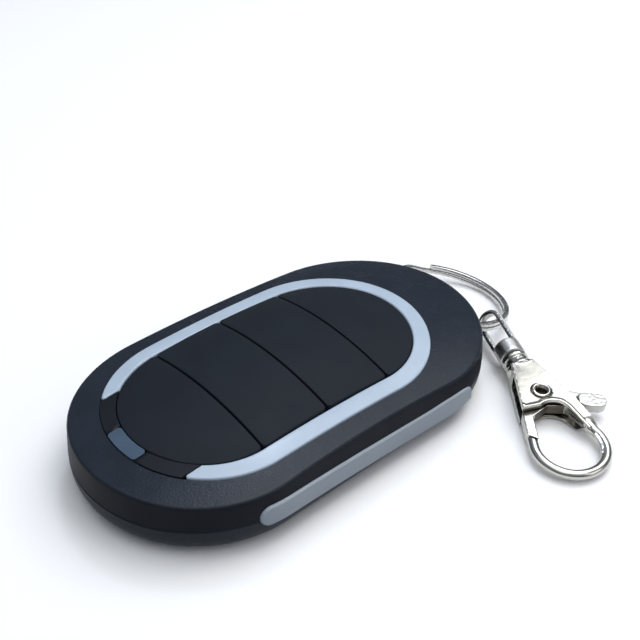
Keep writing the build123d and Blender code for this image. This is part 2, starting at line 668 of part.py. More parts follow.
# Clasp: its axis runs from the ring's wire down to the hook, which rests on the table
wire_point = ring_centre + ring_radial(EYE_ANGLE) * RING_WIRE_AT
hook_reach = HOOK_X + HOOK_OUTER - HOOK_BAR_RADIUS
pitch = asin((wire_point.Z - HOOK_BAR_RADIUS - TABLE_GAP) / hook_reach)
heading = radians(CLASP_HEADING)
clasp_out = Vector(cos(pitch) * cos(heading), cos(pitch) * sin(heading), -sin(pitch))
clasp_up = Vector(sin(pitch) * cos(heading), sin(pitch) * sin(heading), cos(pitch))
clasp_side = clasp_up.cross(clasp_out)
roll = radians(EYE_ROLL)
clasp_plane = Plane(wire_point, x_dir=clasp_out, z_dir=clasp_up)
eye_plane = Plane(wire_point, x_dir=clasp_out, z_dir=clasp_up * cos(roll) - clasp_side * sin(roll))


def clasp_bar(radius, start, length):
    """Round bar along the clasp's axis, from a distance beyond the ring's wire."""
    with BuildPart() as bar:
        with BuildSketch(Plane(wire_point + clasp_out * start, x_dir=clasp_side, z_dir=clasp_out)):
            Circle(radius)
        extrude(amount=length)
    return bar.part


def clasp_slab(low, high, half_height):
    """Block in the clasp's own frame between two plan corners, centred on its middle plane."""
    with BuildPart() as slab:
        with BuildSketch(clasp_plane):
            with Locations(((low[0] + high[0]) / 2, (low[1] + high[1]) / 2)):
                Rectangle(high[0] - low[0], high[1] - low[1])
        extrude(amount=half_height, both=True)
    return slab.part


# Swivel eye: a flat strap bent to a loop, on a boss with a headed stem
EYE_INNER = EYE_OUTER - EYE_STRAP
EYE_CENTRE_X = EYE_OUTER - EYE_BOW
STEM_START = BOSS_START + BOSS_LENGTH
HEAD_START = CHANNEL_START + STEM_CLEARANCE
HEAD_POCKET = STEM_HEAD_LENGTH + 2 * HEAD_CLEARANCE
with BuildPart() as swivel_eye:
    with BuildSketch(eye_plane):
        for radius, mode in ((EYE_OUTER, Mode.ADD), (EYE_INNER, Mode.SUBTRACT)):
            reach = BOSS_START + (EYE_STRAP if mode == Mode.ADD else 0)
            with Locations((EYE_CENTRE_X, 0)):
                Circle(radius, mode=mode)
            with Locations(((EYE_CENTRE_X + reach) / 2, 0)):
                Rectangle(reach - EYE_CENTRE_X, 2 * radius, mode=mode)
    extrude(amount=EYE_STRAP_WIDTH / 2, both=True)
    add(clasp_bar(EYE_BOSS_RADIUS, BOSS_START, BOSS_LENGTH))
    add(clasp_bar(STEM_RADIUS, STEM_START, HEAD_START + STEM_HEAD_LENGTH - STEM_START))
    add(clasp_bar(STEM_HEAD_RADIUS, HEAD_START, STEM_HEAD_LENGTH))
keep("swivel_eye", swivel_eye.part)

# Clasp body: a slotted casting whose right limb runs on as the round hook
limb_angle = asin(HOOK_OUTER / sqrt((HOOK_X - SHOULDER_X) ** 2 + SHOULDER_HALF_WIDTH**2))
limb_angle -= asin(SHOULDER_HALF_WIDTH / sqrt((HOOK_X - SHOULDER_X) ** 2 + SHOULDER_HALF_WIDTH**2))
bar_path_radius = HOOK_OUTER - HOOK_BAR_RADIUS
touch_x = HOOK_X - bar_path_radius * sin(limb_angle)
touch_y = bar_path_radius * cos(limb_angle)
tip_y = -touch_y + (touch_x - HOOK_TIP_X) * tan(limb_angle)
bar_end_x = HOOK_TIP_X - HOOK_BAR_RADIUS


def teardrop(inset):
    """Plan of the clasp: straight sides from the shoulders, tangent to the hook's round end."""
    with BuildSketch(clasp_plane) as plan:
        with BuildLine():
            CenterArc((HOOK_X, 0), HOOK_OUTER - inset, 0, 360)
            Line((SHOULDER_X, inset - SHOULDER_HALF_WIDTH), (SHOULDER_X, SHOULDER_HALF_WIDTH - inset))
        make_hull()
    return plan.sketch


with BuildPart() as limb_taper:
    with BuildSketch(Plane(wire_point, x_dir=clasp_out, z_dir=-clasp_side)):
        Polygon((SHOULDER_X, BODY_THICKNESS / 2), (TAPER_START_X, BODY_THICKNESS / 2),
                (LIMB_END_X, LIMB_THICKNESS / 2), (LIMB_END_X, -LIMB_THICKNESS / 2),
                (TAPER_START_X, -BODY_THICKNESS / 2), (SHOULDER_X, -BODY_THICKNESS / 2), align=None)
    extrude(amount=HOOK_OUTER, both=True)

with BuildPart() as hook_bar:
    with BuildLine(clasp_plane) as bar_path:
        Line((ARCH_X, touch_y - (touch_x - ARCH_X) * tan(limb_angle)), (touch_x, touch_y))
        ThreePointArc((touch_x, touch_y), (HOOK_X + bar_path_radius, 0), (touch_x, -touch_y))
        Line((touch_x, -touch_y), (bar_end_x, -touch_y + (touch_x - bar_end_x) * tan(limb_angle)))
    with BuildSketch(Plane(bar_path.line @ 0, z_dir=bar_path.line % 0)):
        Circle(HOOK_BAR_RADIUS)
    sweep()
    with BuildSketch(clasp_plane):
        with Locations(Location((HOOK_TIP_X, tip_y), HOOK_TIP_ANGLE)):
            Rectangle(HOOK_TIP_CUT, HOOK_TIP_CUT, align=(Align.CENTER, Align.MIN))
    extrude(amount=BODY_THICKNESS, both=True, mode=Mode.SUBTRACT)

with BuildPart() as channel:
    extrude(teardrop(CHANNEL_SIDE_WALL), amount=CHANNEL_HEIGHT / 2, both=True)
    add(clasp_slab((TAB_WINDOW[0], -HOOK_OUTER), (TAB_WINDOW[1], HOOK_OUTER), CHANNEL_HEIGHT / 2))
    add(clasp_slab((CHANNEL_START, -HOOK_OUTER), (TAB_WINDOW[1], HOOK_OUTER), CHANNEL_HEIGHT / 2),
        mode=Mode.INTERSECT)

with BuildPart() as clasp_body:
    extrude(teardrop(0), amount=BODY_THICKNESS / 2, both=True)
    add(limb_taper.part, mode=Mode.INTERSECT)
    with BuildSketch(clasp_plane):
        with BuildLine():
            CenterArc((HOOK_X, 0), HOOK_OUTER - 2 * HOOK_BAR_RADIUS, 0, 360)
            CenterArc((ARCH_X, 0), ARCH_RADIUS, 0, 360)
        make_hull()
    extrude(amount=BODY_THICKNESS, both=True, mode=Mode.SUBTRACT)
    add(clasp_slab((GATE_GAP_START, -HOOK_OUTER), (LIMB_END_X + HOOK_BAR_RADIUS, 0), BODY_THICKNESS),
        mode=Mode.SUBTRACT)
    add(clasp_bar(COLLAR_CORE_RADIUS, COLLAR_START, COLLAR_LENGTH))
    add(clasp_bar(COLLAR_RADIUS, COLLAR_START, COLLAR_RIB))
    add(clasp_bar(COLLAR_RADIUS, COLLAR_START + COLLAR_LENGTH - COLLAR_RIB, COLLAR_RIB))
    add(channel.part, mode=Mode.SUBTRACT)
    add(hook_bar.part)
    add(clasp_bar(STEM_RADIUS + STEM_CLEARANCE, COLLAR_START, HEAD_START - COLLAR_START),
        mode=Mode.SUBTRACT)
    add(clasp_bar(STEM_HEAD_RADIUS + HEAD_CLEARANCE, CHANNEL_START, HEAD_POCKET), mode=Mode.SUBTRACT)
    with BuildSketch(clasp_plane):
        with Locations((RIVET_X, 0)):
            Circle(RIVET_RADIUS + PIN_CLEARANCE)
    extrude(amount=BODY_THICKNESS, both=True, mode=Mode.SUBTRACT)
keep("clasp_body", clasp_body.part)

# Lever: gate arm, hub and thumb tab in one flat piece between the plates
limb_slope = tan(limb_angle)
gate_offset = (GATE_INSET + GATE_WIDTH / 2) / cos(limb_angle)


def gate_spot(x):
    """Point on the gate arm's centre line, which runs along the clasp's left side."""
    return (x, gate_offset - SHOULDER_HALF_WIDTH - (x - SHOULDER_X) * limb_slope)


def hull_of(*circles):
    """Face round a set of circles given by centre and radius."""
    with BuildSketch(clasp_plane) as plan:
        with BuildLine():
            for spot, radius in circles:
                CenterArc(spot, radius, 0, 360)
        make_hull()
    return plan.sketch


hub = ((RIVET_X, 0), HUB_RADIUS)
elbow = (gate_spot(GATE_ELBOW_X), GATE_WIDTH / 2)
gate_end = (gate_spot(LIMB_END_X + GATE_WIDTH), GATE_WIDTH / 2)
tab_root = (TAB_ROOT, TAB_RADIUS)
tab_tip = (TAB_TIP, TAB_RADIUS)
tip_place = Location((HOOK_TIP_X, tip_y), HOOK_TIP_ANGLE)

with BuildPart() as clasp_lever:
    extrude(hull_of(hub, elbow), amount=LEVER_THICKNESS / 2, both=True)
    extrude(hull_of(elbow, gate_end), amount=LEVER_THICKNESS / 2, both=True)
    with BuildSketch(clasp_plane):
        with Locations(tip_place):
            Rectangle(GATE_TIP_CUT, GATE_TIP_CUT, align=(Align.CENTER, Align.MAX))
            Rectangle(GATE_TIP_CUT, TIP_CLEARANCE, align=(Align.CENTER, Align.MIN))
    extrude(amount=BODY_THICKNESS, both=True, mode=Mode.SUBTRACT)
    extrude(hull_of(hub, tab_root), amount=LEVER_THICKNESS / 2, both=True)
    extrude(hull_of(tab_root, tab_tip), amount=TAB_THICKNESS / 2, both=True)
    with BuildSketch(clasp_plane):
        with Locations((RIVET_X, 0)):
            Circle(RIVET_RADIUS + LEVER_CLEARANCE)
    extrude(amount=BODY_THICKNESS, both=True, mode=Mode.SUBTRACT)
keep("clasp_lever", clasp_lever.part)

# Tubular rivet with rolled ends
with BuildPart() as clasp_rivet:
    with BuildSketch(clasp_plane):
        with Locations((RIVET_X, 0)):
            Circle(RIVET_RADIUS)
    extrude(amount=BODY_THICKNESS / 2 + RIVET_HEAD_HEIGHT, both=True)
    with BuildSketch(clasp_plane.offset(BODY_THICKNESS / 2),
                     clasp_plane.offset(-BODY_THICKNESS / 2 - RIVET_HEAD_HEIGHT)):
        with Locations((RIVET_X, 0)):
            Circle(RIVET_HEAD_RADIUS)
    extrude(amount=RIVET_HEAD_HEIGHT)
    with BuildSketch(clasp_plane):
        with Locations((RIVET_X, 0)):
            Circle(RIVET_BORE_RADIUS)
    extrude(amount=BODY_THICKNESS, both=True, mode=Mode.SUBTRACT)
keep("clasp_rivet", clasp_rivet.part)

# Leaf spring behind the lever, held in the closed end of the channel
with BuildPart() as clasp_spring:
    with BuildSketch(clasp_plane):
        with BuildLine() as leaf:
            Spline(SPRING_POINTS)
        trace(line_width=SPRING_THICKNESS)
    extrude(amount=SPRING_WIDTH / 2, both=True)
    add(clasp_body.part, mode=Mode.SUBTRACT)
keep("clasp_spring", clasp_spring.part)
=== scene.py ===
import json
from math import asin, atan2, cos, hypot, pi, radians, sin, sqrt, tan

import bmesh
import bpy
from mathutils import Matrix, Vector, noise


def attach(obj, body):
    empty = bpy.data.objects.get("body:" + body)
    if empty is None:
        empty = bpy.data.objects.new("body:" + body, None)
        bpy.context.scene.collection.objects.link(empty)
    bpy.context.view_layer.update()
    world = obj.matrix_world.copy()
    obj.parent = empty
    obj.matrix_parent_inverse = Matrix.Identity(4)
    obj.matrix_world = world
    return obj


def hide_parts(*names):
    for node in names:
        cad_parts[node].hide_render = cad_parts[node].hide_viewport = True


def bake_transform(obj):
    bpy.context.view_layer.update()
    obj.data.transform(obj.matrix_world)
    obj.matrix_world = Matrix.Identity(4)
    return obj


# Garage door remote with its key ring and clasp: sizes are millimetres, turned to metres by MM
MM = 0.001
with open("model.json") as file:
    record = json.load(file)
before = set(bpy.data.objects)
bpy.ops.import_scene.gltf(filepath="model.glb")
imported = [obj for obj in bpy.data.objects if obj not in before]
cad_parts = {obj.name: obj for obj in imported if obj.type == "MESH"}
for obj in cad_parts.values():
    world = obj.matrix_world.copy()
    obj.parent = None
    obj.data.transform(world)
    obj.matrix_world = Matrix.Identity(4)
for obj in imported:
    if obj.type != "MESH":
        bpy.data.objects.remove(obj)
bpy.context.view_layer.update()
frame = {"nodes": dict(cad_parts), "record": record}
NODES = frame["nodes"]

# Housing, as in the part
LED_END_Y, LED_END_RADIUS = -11.7, 17.95
KEY_END_Y, KEY_END_RADIUS = 17.8, 17.55
SIDE_RADIUS = 1000.0
PART_Z, SHELL_CROWN_Z = 4.9, 11.3
CROWN_ACROSS, CROWN_ALONG = 80.0, 210.0
WALL, ROOF, FLOOR = 1.5, 1.8, 1.3
DRAFT = radians(4)
CREASE_RADIUS, BASE_EDGE_RADIUS, SEAM_CHAMFER = 0.45, 4.0, 0.18
# The cover's walls get a duller skin and a darker colour, painted shade, where their faces are steeper and
# lower than this
SIDE_SLOPE, SIDE_TOP = 0.4, 9.6
# Keypad's oval, and the band round it that holds the trim
PILL_HALF, BAND_OUTER, BAND_INNER, BAND_END_WIDTH = 10.7, 14.55, 12.05, 2.0
BAND_GAP, BAND_DEPTH = 0.08, 1.0
# The key ring's slot, a plane beyond the housing, and how much the edge of the inner roof is drawn in
SLOT_LOW, SLOT_HIGH, SLOT_HALF_WIDTH, SLOT_BACK_Y, SLOT_WALL = 2.7, 7.5, 11.4, 27.5, 1.1
INNER_BACK_Y, BEYOND_Y, ROOF_SHARE = SLOT_BACK_Y - SLOT_WALL, 60.0, 0.98

# Button caps, as in the part but for narrower gaps and smaller edges, which follow the photograph
BUTTON_CROWN_Z, BUTTON_ACROSS, BUTTON_ALONG = 12.5, 45.0, 120.0
BUTTON_COUNT, BUTTON_PITCH, BUTTON_BASE_Z = 4, 10.85, 7.5
PLUNGER_TOP, FLANGE_REACH, FLANGE_GAP = 8.1, 0.7, 0.1
CAP_REACH, CAP_HALF_GAP, CAP_CORNER, CAP_EDGE, CAP_WALL, CAP_POST = 11.93, 0.13, 0.6, 0.15, 1.2, 1.2
CAP_CORE, CAP_RINGS = 0.02, 10

# Side strips, as in the part but for the lift of their ends, which follows the photograph
STRIP_HEIGHT, STRIP_FRONT_Y, STRIP_REAR_Y = 3.2, -15.9, 23.4
STRIP_PROUD, STRIP_DEPTH, STRIP_REAR_TAPER, STRIP_EDGE = 0.25, 0.75, 10.5, 0.3
STRIP_FRONT_LIFT, STRIP_REAR_LIFT = 0.33, -0.62
# The seat cutter's reach, and from where on x the outline is a side
STRIP_CLEAR, FLANK_X = 3.0, 8.0

# Screws from below: where they are, and the recess and the clear hole of each, as in the part
SCREW_SPOTS = ((-6.1, -23.7), (6.1, -23.7), (-9.5, 23.6), (9.5, 23.6))
SCREW_RECESS_RADIUS, SCREW_RECESS_DEPTH, SCREW_HOLE_RADIUS, CUT_PAST = 1.65, 0.9, 0.95, 1.0

# Split ring, as in the part but for a wire drawn thinner: its middle, its lean and its flat wire
PIN_Y, RING_Z, RING_OFFSET, RING_OUTER = 31.0, 5.5, 6.95, 9.9
RING_SWING, RING_TILT, RING_ROLL = radians(11.5), radians(15.3), radians(4.0)
RING_WIRE_WIDTH, RING_WIRE_HEIGHT, RING_SLIT = 0.9, 0.68, 0.06
RING_WIRE = (RING_WIRE_WIDTH, RING_WIRE_HEIGHT, 0.22)
RING_ENDS_ANGLE, RING_CROSSOVER, RING_STEP, EYE_ANGLE = 80, 30, 2, radians(-102)

# Clasp: distances along it are from the ring's wire. It is as in the part but for the eye, the collar and
# the rivet's head and bore, which follow the photograph more closely.
CLASP_HEADING, TABLE_GAP, EYE_ROLL = radians(-22.9), 0.25, radians(46)
EYE_BOW, EYE_OUTER, EYE_STRAP, EYE_STRAP_WIDTH, EYE_EDGE = 2.6, 2.0, 0.7, 1.3, 0.2
BOSS_START, BOSS_LENGTH, BOSS_RADIUS, BOSS_EDGE, COLLAR_RADIUS = 4.95, 2.8, 2.1, 0.25, 2.15
STEM_RADIUS, HEAD_START, HEAD_LENGTH, HEAD_RADIUS = 0.95, 12.0, 0.8, 1.35
SHOULDER_X, SHOULDER_HALF_WIDTH, PLATE_HALF = 9.95, 1.75, 1.9
TAPER_START_X, LIMB_END_X, LIMB_HALF = 19.05, 24.05, 1.0
HOOK_X, HOOK_OUTER, HOOK_BAR_RADIUS = 25.95, 5.9, 0.85
ARCH_X, ARCH_RADIUS, GATE_GAP_START = 21.15, 2.5, 18.95
RIVET_X, RIVET_BORE, RIVET_SHANK, RIVET_HEAD, RIVET_HEAD_HEIGHT = 16.35, 0.74, 1.1, 1.38, 0.18

# Castings: cell of their skin, its smoothing and its wear
SKIN_CELL = 0.1
EYE_PASSES, HOOK_PASSES, LEVER_PASSES = 4, 6, 5
HOOK_WEAR, LEVER_WEAR = 0.1, 0.03
# Ribbed collar: (along it, below its rim), then (past the shoulder, above its rim or the plates)
COLLAR_GAP = 0.3
COLLAR_STEPS = ((0, 0), (0.35, 0), (0.45, 0.5), (0.9, 0.5), (1.0, 0.05), (1.25, 0.05), (1.35, 0.5))
COLLAR_FLANGE, COLLAR_FOOT = ((-0.2, -0.5), (-0.05, 0.1), (0.4, 0.1)), ((0.6, 0.02), (1.2, 0))
# Rivet: heights above the plate or its own top, each with a distance out of its bore or rim, or a radius
RIVET_FLARE, RIVET_CREST = ((-0.35, 0), (0, 0.13)), ((-0.04, 0.27), (0, 0.42))
RIVET_ROLL, RIVET_UNDER = ((-0.03, -0.14), (-0.12, 0)), ((-0.03, RIVET_HEAD - 0.02), (-0.05, RIVET_SHANK))
SEAT_DEPTH, SEAT_GAP = 0.2, 0.12
# Bars swept along a path, as (width, height, edge radius)
BEAD_BAR, RIDGE_BAR, ARCH_SLOT_BAR = (0.62, 0.5, 0.2), (0.5, 0.8, 0.2), (2.2, 2.4, 0.05)
# The arch's bead: out of the arch, sunk, its two first points, its arc's start, its end past the limb
BEAD_INSET, BEAD_SINK, BEAD_START = 0.3, 0.08, ((-0.5, 0.3), (0.0, 0.55))
BEAD_ARC_START, BEAD_PAST = pi + 0.52, 0.4
ARCH_SLOT_INSET, ARCH_SLOT_X, ARCH_SLOT_SPAN = 0.2, 18.0, slice(6, -2)
RIDGE_START, RIDGE_TURN, RIDGE_INSET, RIDGE_RISE = 104, 50, 0.75, 0.25
# The hook's bar carried on up the limb
LIMB_BAR_X, LIMB_BAR_LENGTH, LIMB_BAR_RISE, LIMB_BAR_FLAT = 25.0, 6.5, 1.1, 0.01
# What thins the limb towards the hook, as (x, height), and where on y it cuts
LIMB_WEDGE, LIMB_WEDGE_SIDES = ((22.4, 1.25), (24.3, 0.2), (24.3, 3), (22.4, 3)), (2.0, 7.0)
# The channel's window in the casting's side, as (x, depth from that side), and half its height
WINDOW, WINDOW_HALF = ((12.2, -0.5), (14.8, -0.5), (14.8, 1.3), (12.2, 1.1)), 0.95
# Thumb tab: its root, what is cut from below it, and the pits in its top
TAB_ROOT_Y, TAB_TOP_Z, TAB_SKIN = 6.0, 0.6, 1.0
TAB_CUT, TAB_CUT_LOW, TAB_CUT_HIGH = ((17.4, 5.5), (23.0, 5.5), (23.0, 10.0), (17.4, 10.0)), -3.0, -0.2
PIT_RATE, PIT_DEPTH = 1.6, 0.05
# Painted shade inside the arch, as a dark, dull plate: from x, to x and half width, on faces steeper and
# lower than this
HOOK_ARCH_SHADE, LEVER_ARCH_SHADE = (17.0, 22.9, 4.3), (16.6, 20.6, 2.4)
ARCH_SHADE_AIM_X, ARCH_SHADE_SLOPE, ARCH_SHADE_RIM = ARCH_X + 1.5, 0.6, 0.4

# Points or steps along curves
END_POINTS, SIDE_POINTS, TOP_STEPS, ROUND_STEPS, EDGE_STEPS = 96, 48, 16, 8, 5
NOSE_STEPS, UPPER_STEPS, LOWER_STEPS, TAPER_STEPS = 14, 40, 60, 24
CAP_CORNER_STEPS, CAP_SIDE_STEPS, CAP_CHORD_STEPS, CAP_END_STEPS = 6, 20, 24, 80
DRUM_POINTS, POST_POINTS, TURN_POINTS = 48, 32, 64
EYE_STEPS, ARCH_STEPS, LIMB_STEPS, BAR_STEPS = 32, 24, 12, 16
# The crease's height is settled in some passes, and its slope is felt over a short distance
CREASE_PASSES, CREASE_PROBE = 12, 0.2
# Faces that meet at less than this angle shade as one, and points closer than this merge
SMOOTH_ANGLE, RIVET_SMOOTH_ANGLE, CASTING_SMOOTH_ANGLE = 35, 50, 180
MERGE = 1e-4

# Camera, from the fit to the photograph: its place, its turns and its lens
CAMERA_PLACE, CAMERA_LENS = (93.66, -75.53, 111.05), 64.16
CAMERA_AZIMUTH, CAMERA_ELEVATION, CAMERA_ROLL = radians(47.935), radians(37.622), radians(1.383)

# Noise textures: nearly all of their values lie between these, and their slow changes have these sizes
NOISE_LOW, NOISE_HIGH = 0.3, 0.7
PIGMENT_CLOUD, PLASTIC_CLOUD, PLATE_CLOUD = 6.0, 3.0, 1.2
# How far the roughness of plastic swings, and that of plate as shares of its own
PLASTIC_SWING, PLATE_BRIGHT, PLATE_DULL = 0.04, 0.7, 1.4


# Materials: one function turns written colours to linear, one adds a node

def linear(colour):
    """sRGB hex to the linear colour that shaders use."""
    channels = [int(colour[i:i + 2], 16) / 255 for i in (1, 3, 5)]
    return [c / 12.92 if c <= 0.04045 else ((c + 0.055) / 1.055) ** 2.4 for c in channels] + [1.0]


def put(tree, kind, links=None, values=None, **settings):
    """Adds a node with its settings, its inputs' values and the sockets that feed it."""
    node = tree.nodes.new(kind)
    for name, value in settings.items():
        setattr(node, name, value)
    for name, value in (values or {}).items():
        node.inputs[name].default_value = value
    for name, socket in (links or {}).items():
        tree.links.new(socket, node.inputs[name])
    return node


def finish(name, colour, **shader):
    """A new material with its surface shader and the object's own coordinates."""
    material = bpy.data.materials.new(name)
    material.use_nodes = True
    tree = material.node_tree
    surface = tree.nodes["Principled BSDF"]
    surface.inputs["Base Color"].default_value = linear(colour)
    for key, value in shader.items():
        surface.inputs[key.replace("_", " ")].default_value = value
    place = put(tree, "ShaderNodeTexCoord").outputs["Object"]
    return material, tree, surface, place


def grain(tree, surface, place, size_mm, height_mm, detail=2.0):
    """Raised grain of a real size, as the tool's texture leaves it on a moulding."""
    bumps = put(tree, "ShaderNodeTexNoise", {"Vector": place},
                {"Scale": 1 / (size_mm * MM), "Detail": detail, "Roughness": 0.55})
    raised = put(tree, "ShaderNodeBump", {"Height": bumps.outputs["Fac"]},
                 {"Distance": height_mm * MM, "Strength": 1.0})
    tree.links.new(raised.outputs["Normal"], surface.inputs["Normal"])


def spread(tree, surface, place, size_mm, low, high):
    """Slow change of roughness over the surface."""
    cloud = put(tree, "ShaderNodeTexNoise", {"Vector": place},
                {"Scale": 1 / (size_mm * MM), "Detail": 3.0})
    scale = put(tree, "ShaderNodeMapRange", {"Value": cloud.outputs["Fac"]},
                {"From Min": NOISE_LOW, "From Max": NOISE_HIGH, "To Min": low, "To Max": high})
    tree.links.new(scale.outputs["Result"], surface.inputs["Roughness"])


def tint(tree, surface, place, dark, light):
    """Faint cloud of two near colours, as pigment and handling leave."""
    cloud = put(tree, "ShaderNodeTexNoise", {"Vector": place},
                {"Scale": 1 / (PIGMENT_CLOUD * MM), "Detail": 4.0})
    ramp = put(tree, "ShaderNodeValToRGB", {"Fac": cloud.outputs["Fac"]})
    for element, position, colour in zip(ramp.color_ramp.elements, (NOISE_LOW, NOISE_HIGH), (dark, light)):
        element.position = position
        element.color = linear(colour)
    tree.links.new(ramp.outputs["Color"], surface.inputs["Base Color"])


def moulded(name, dark, light, rough, grain_mm, height_mm, **shader):
    """Moulded plastic: a faint cloud in its pigment, and the grain of its tool."""
    material, tree, surface, place = finish(name, dark, **shader)
    tint(tree, surface, place, dark, light)
    grain(tree, surface, place, grain_mm, height_mm)
    spread(tree, surface, place, PLASTIC_CLOUD, rough - PLASTIC_SWING, rough + PLASTIC_SWING)
    return material


# ABS cover, spark-eroded tool: a fine even grain that glitters where light grazes it.
# The real grain is about 0.1 mm and is drawn at 0.3 mm, so that it shows.
GRAINED_ABS = moulded("grained_charcoal_abs", "#222831", "#272d37", 0.26, 0.3, 0.034,
                      IOR=1.5, Specular_IOR_Level=0.14)
# The same cover below its crease, with a flatter, duller skin and a darker colour that is painted shade on
# its walls
SHADED_SIDE_ABS = moulded("charcoal_abs_painted_side_shade", "#12161e", "#161a22", 0.5, 0.2, 0.01, IOR=1.5, Specular_IOR_Level=0.1)
# ABS tray, polished tool: a smoother and slightly brighter skin than the cover
TRAY_ABS = moulded("plain_charcoal_abs", "#30353c", "#343940", 0.42, 0.35, 0.004,
                   IOR=1.5, Specular_IOR_Level=0.1)
# ABS button caps with a soft-touch lacquer: even and dull
CAP_ABS = moulded("lacquered_cap_abs", "#1b2027", "#1e242c", 0.6, 0.3, 0.004,
                  IOR=1.5, Specular_IOR_Level=0.12)
# Bezel in the cover's own colour, satin
BEZEL_ABS = moulded("satin_bezel_abs", "#14181f", "#181c23", 0.5, 0.3, 0.004,
                    IOR=1.5, Specular_IOR_Level=0.15)
# Painted ABS: pale silver-grey paint, fine and even, under a thin satin clear coat
SILVER_PAINT = moulded("silver_painted_abs", "#abbaca", "#b3c2d1", 0.45, 0.12, 0.0015,
                       Specular_IOR_Level=0.3, Coat_Weight=0.2, Coat_Roughness=0.12)
# Smoke-tinted polycarbonate: a smooth, blue-grey window with its lamp out
SMOKE_WINDOW = moulded("smoke_polycarbonate", "#3f5063", "#46586b", 0.22, 0.5, 0.001, IOR=1.58)
# Moulded elastomer strip: pale grey and dull
GREY_STRIP = moulded("grey_moulded_strip", "#a6b0ba", "#aeb7c0", 0.5, 0.25, 0.006, IOR=1.5)


def plated(name, colour, rough, wave_mm, height_mm):
    """Bright plate over metal, with the slow waves that polishing leaves."""
    material, tree, surface, place = finish(name, colour, Metallic=1.0)
    grain(tree, surface, place, wave_mm, height_mm, 1.0)
    spread(tree, surface, place, PLATE_CLOUD, rough * PLATE_BRIGHT, rough * PLATE_DULL)
    return material


# Bright nickel over a zinc die casting: mirror-like, with soft waves under the plate
NICKEL_CASTING = plated("bright_nickel_casting", "#c4c2bb", 0.19, 1.6, 0.016)
# Bright nickel over drawn steel wire: mirror-like and straight
NICKEL_WIRE = plated("bright_nickel_wire", "#c7c6c3", 0.24, 2.5, 0.006)
# The same plate over a tumbled, uneven skin: satin, on the lever's thumb tab
NICKEL_SATIN = plated("satin_nickel_casting", "#bebdb9", 0.36, 0.45, 0.025)
# The same plate painted dark brown inside the clasp's arch, as painted shade, and duller
NICKEL_ARCH_SHADE = plated("nickel_painted_arch_shade", "#5e584f", 0.42, 0.8, 0.006)
# Zinc-plated screw steel, ground pin and spring strip: greyer and duller
ZINC_STEEL = plated("zinc_plated_steel", "#9fa3a8", 0.3, 0.6, 0.004)
SPRING_STEEL = plated("spring_steel_strip", "#8f9296", 0.28, 0.5, 0.002)
CELL_STEEL = plated("nickel_plated_cell_can", "#b9bbbc", 0.25, 0.8, 0.002)
# Parts of the board
SOLDER_MASK = moulded("green_solder_mask", "#14512b", "#175a31", 0.3, 0.4, 0.004)
CHIP_EPOXY = moulded("black_moulded_epoxy", "#161617", "#1b1b1c", 0.55, 0.15, 0.006)
SWITCH_NYLON = moulded("black_switch_nylon", "#17181a", "#1c1d1f", 0.5, 0.2, 0.004)
PLUNGER_NYLON = moulded("cream_plunger_nylon", "#b9ab90", "#c2b59b", 0.5, 0.2, 0.004)
LAMP_LENS = moulded("milky_lamp_lens", "#d8d3c4", "#dedace", 0.3, 0.3, 0.001)


# Mesh helpers

def shown(name, data):
    """A new object that holds some data, in the scene."""
    thing = bpy.data.objects.new(name, data)
    bpy.context.scene.collection.objects.link(thing)
    return thing


def clean(mesh, merge=None, outward=True):
    """Merges a mesh's points within a distance, and turns its faces outwards."""
    work = bmesh.new()
    work.from_mesh(mesh)
    if merge:
        bmesh.ops.remove_doubles(work, verts=work.verts, dist=merge)
    if outward:
        bmesh.ops.recalc_face_normals(work, faces=work.faces)
    work.to_mesh(mesh)
    work.free()


def metre_mesh(name, verts, faces):
    """A mesh from points in millimetres."""
    mesh = bpy.data.meshes.new(name)
    mesh.from_pydata([tuple(c * MM for c in v) for v in verts], [], faces)
    return mesh


def smooth(mesh, angle):
    """Smooth shading, but for edges sharper than an angle in degrees."""
    mesh.shade_smooth()
    mesh.set_sharp_from_angle(angle=radians(angle))


def new_piece(name, verts, faces, material, body, *stands_for):
    """A piece from points in millimetres, riding on a body."""
    return place_piece(name, metre_mesh(name, verts, faces), material, body, stands_for, SMOOTH_ANGLE)


def place_piece(name, mesh, material, body, stands_for, angle):
    """Cleans a mesh, gives it its material and puts it on its body, if it has one body."""
    clean(mesh, MERGE * MM)
    mesh.materials.clear()
    mesh.materials.append(material)
    smooth(mesh, angle)
    piece = shown(name, mesh)
    if body:
        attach(piece, body)
    if stands_for:
        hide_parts(*stands_for)
    return piece


def copy_piece(name, node, material, body):
    """A merged copy of a CAD node, so that its curved faces shade smoothly."""
    return place_piece(name, NODES[node].data.copy(), material, body, (node,), SMOOTH_ANGLE)


def loft(rings, close_start=False, close_end=False):
    """Points and faces through closed rings of equal count."""
    count = len(rings[0])
    verts = [p for ring in rings for p in ring]
    faces = []
    for k in range(len(rings) - 1):
        for i in range(count):
            j = (i + 1) % count
            faces.append((k * count + i, k * count + j, (k + 1) * count + j, (k + 1) * count + i))
    if close_start:
        faces.append(tuple(range(count))[::-1])
    if close_end:
        faces.append(tuple((len(rings) - 1) * count + i for i in range(count)))
    return verts, faces


def cut(piece, cutter):
    """Takes a cutter's volume out of a piece, for good."""
    step = piece.modifiers.new("cut", "BOOLEAN")
    step.operation = "DIFFERENCE"
    step.solver = "EXACT"
    step.object = cutter
    settle(piece)
    bpy.data.objects.remove(cutter)


def settle(piece):
    """Turns a piece with live modifiers into a plain mesh."""
    evaluated = piece.evaluated_get(bpy.context.evaluated_depsgraph_get())
    mesh = bpy.data.meshes.new_from_object(evaluated)
    piece.modifiers.clear()
    piece.data = mesh


def circle(x, y, radius, count):
    """Points round a circle."""
    turns = [2 * pi * i / count for i in range(count)]
    return [(x + radius * cos(a), y + radius * sin(a)) for a in turns]


def prism(outline, low, high):
    """Points and faces of an upright block over an outline of (x, y) points."""
    return loft([[(x, y, z) for x, y in outline] for z in (low, high)], True, True)


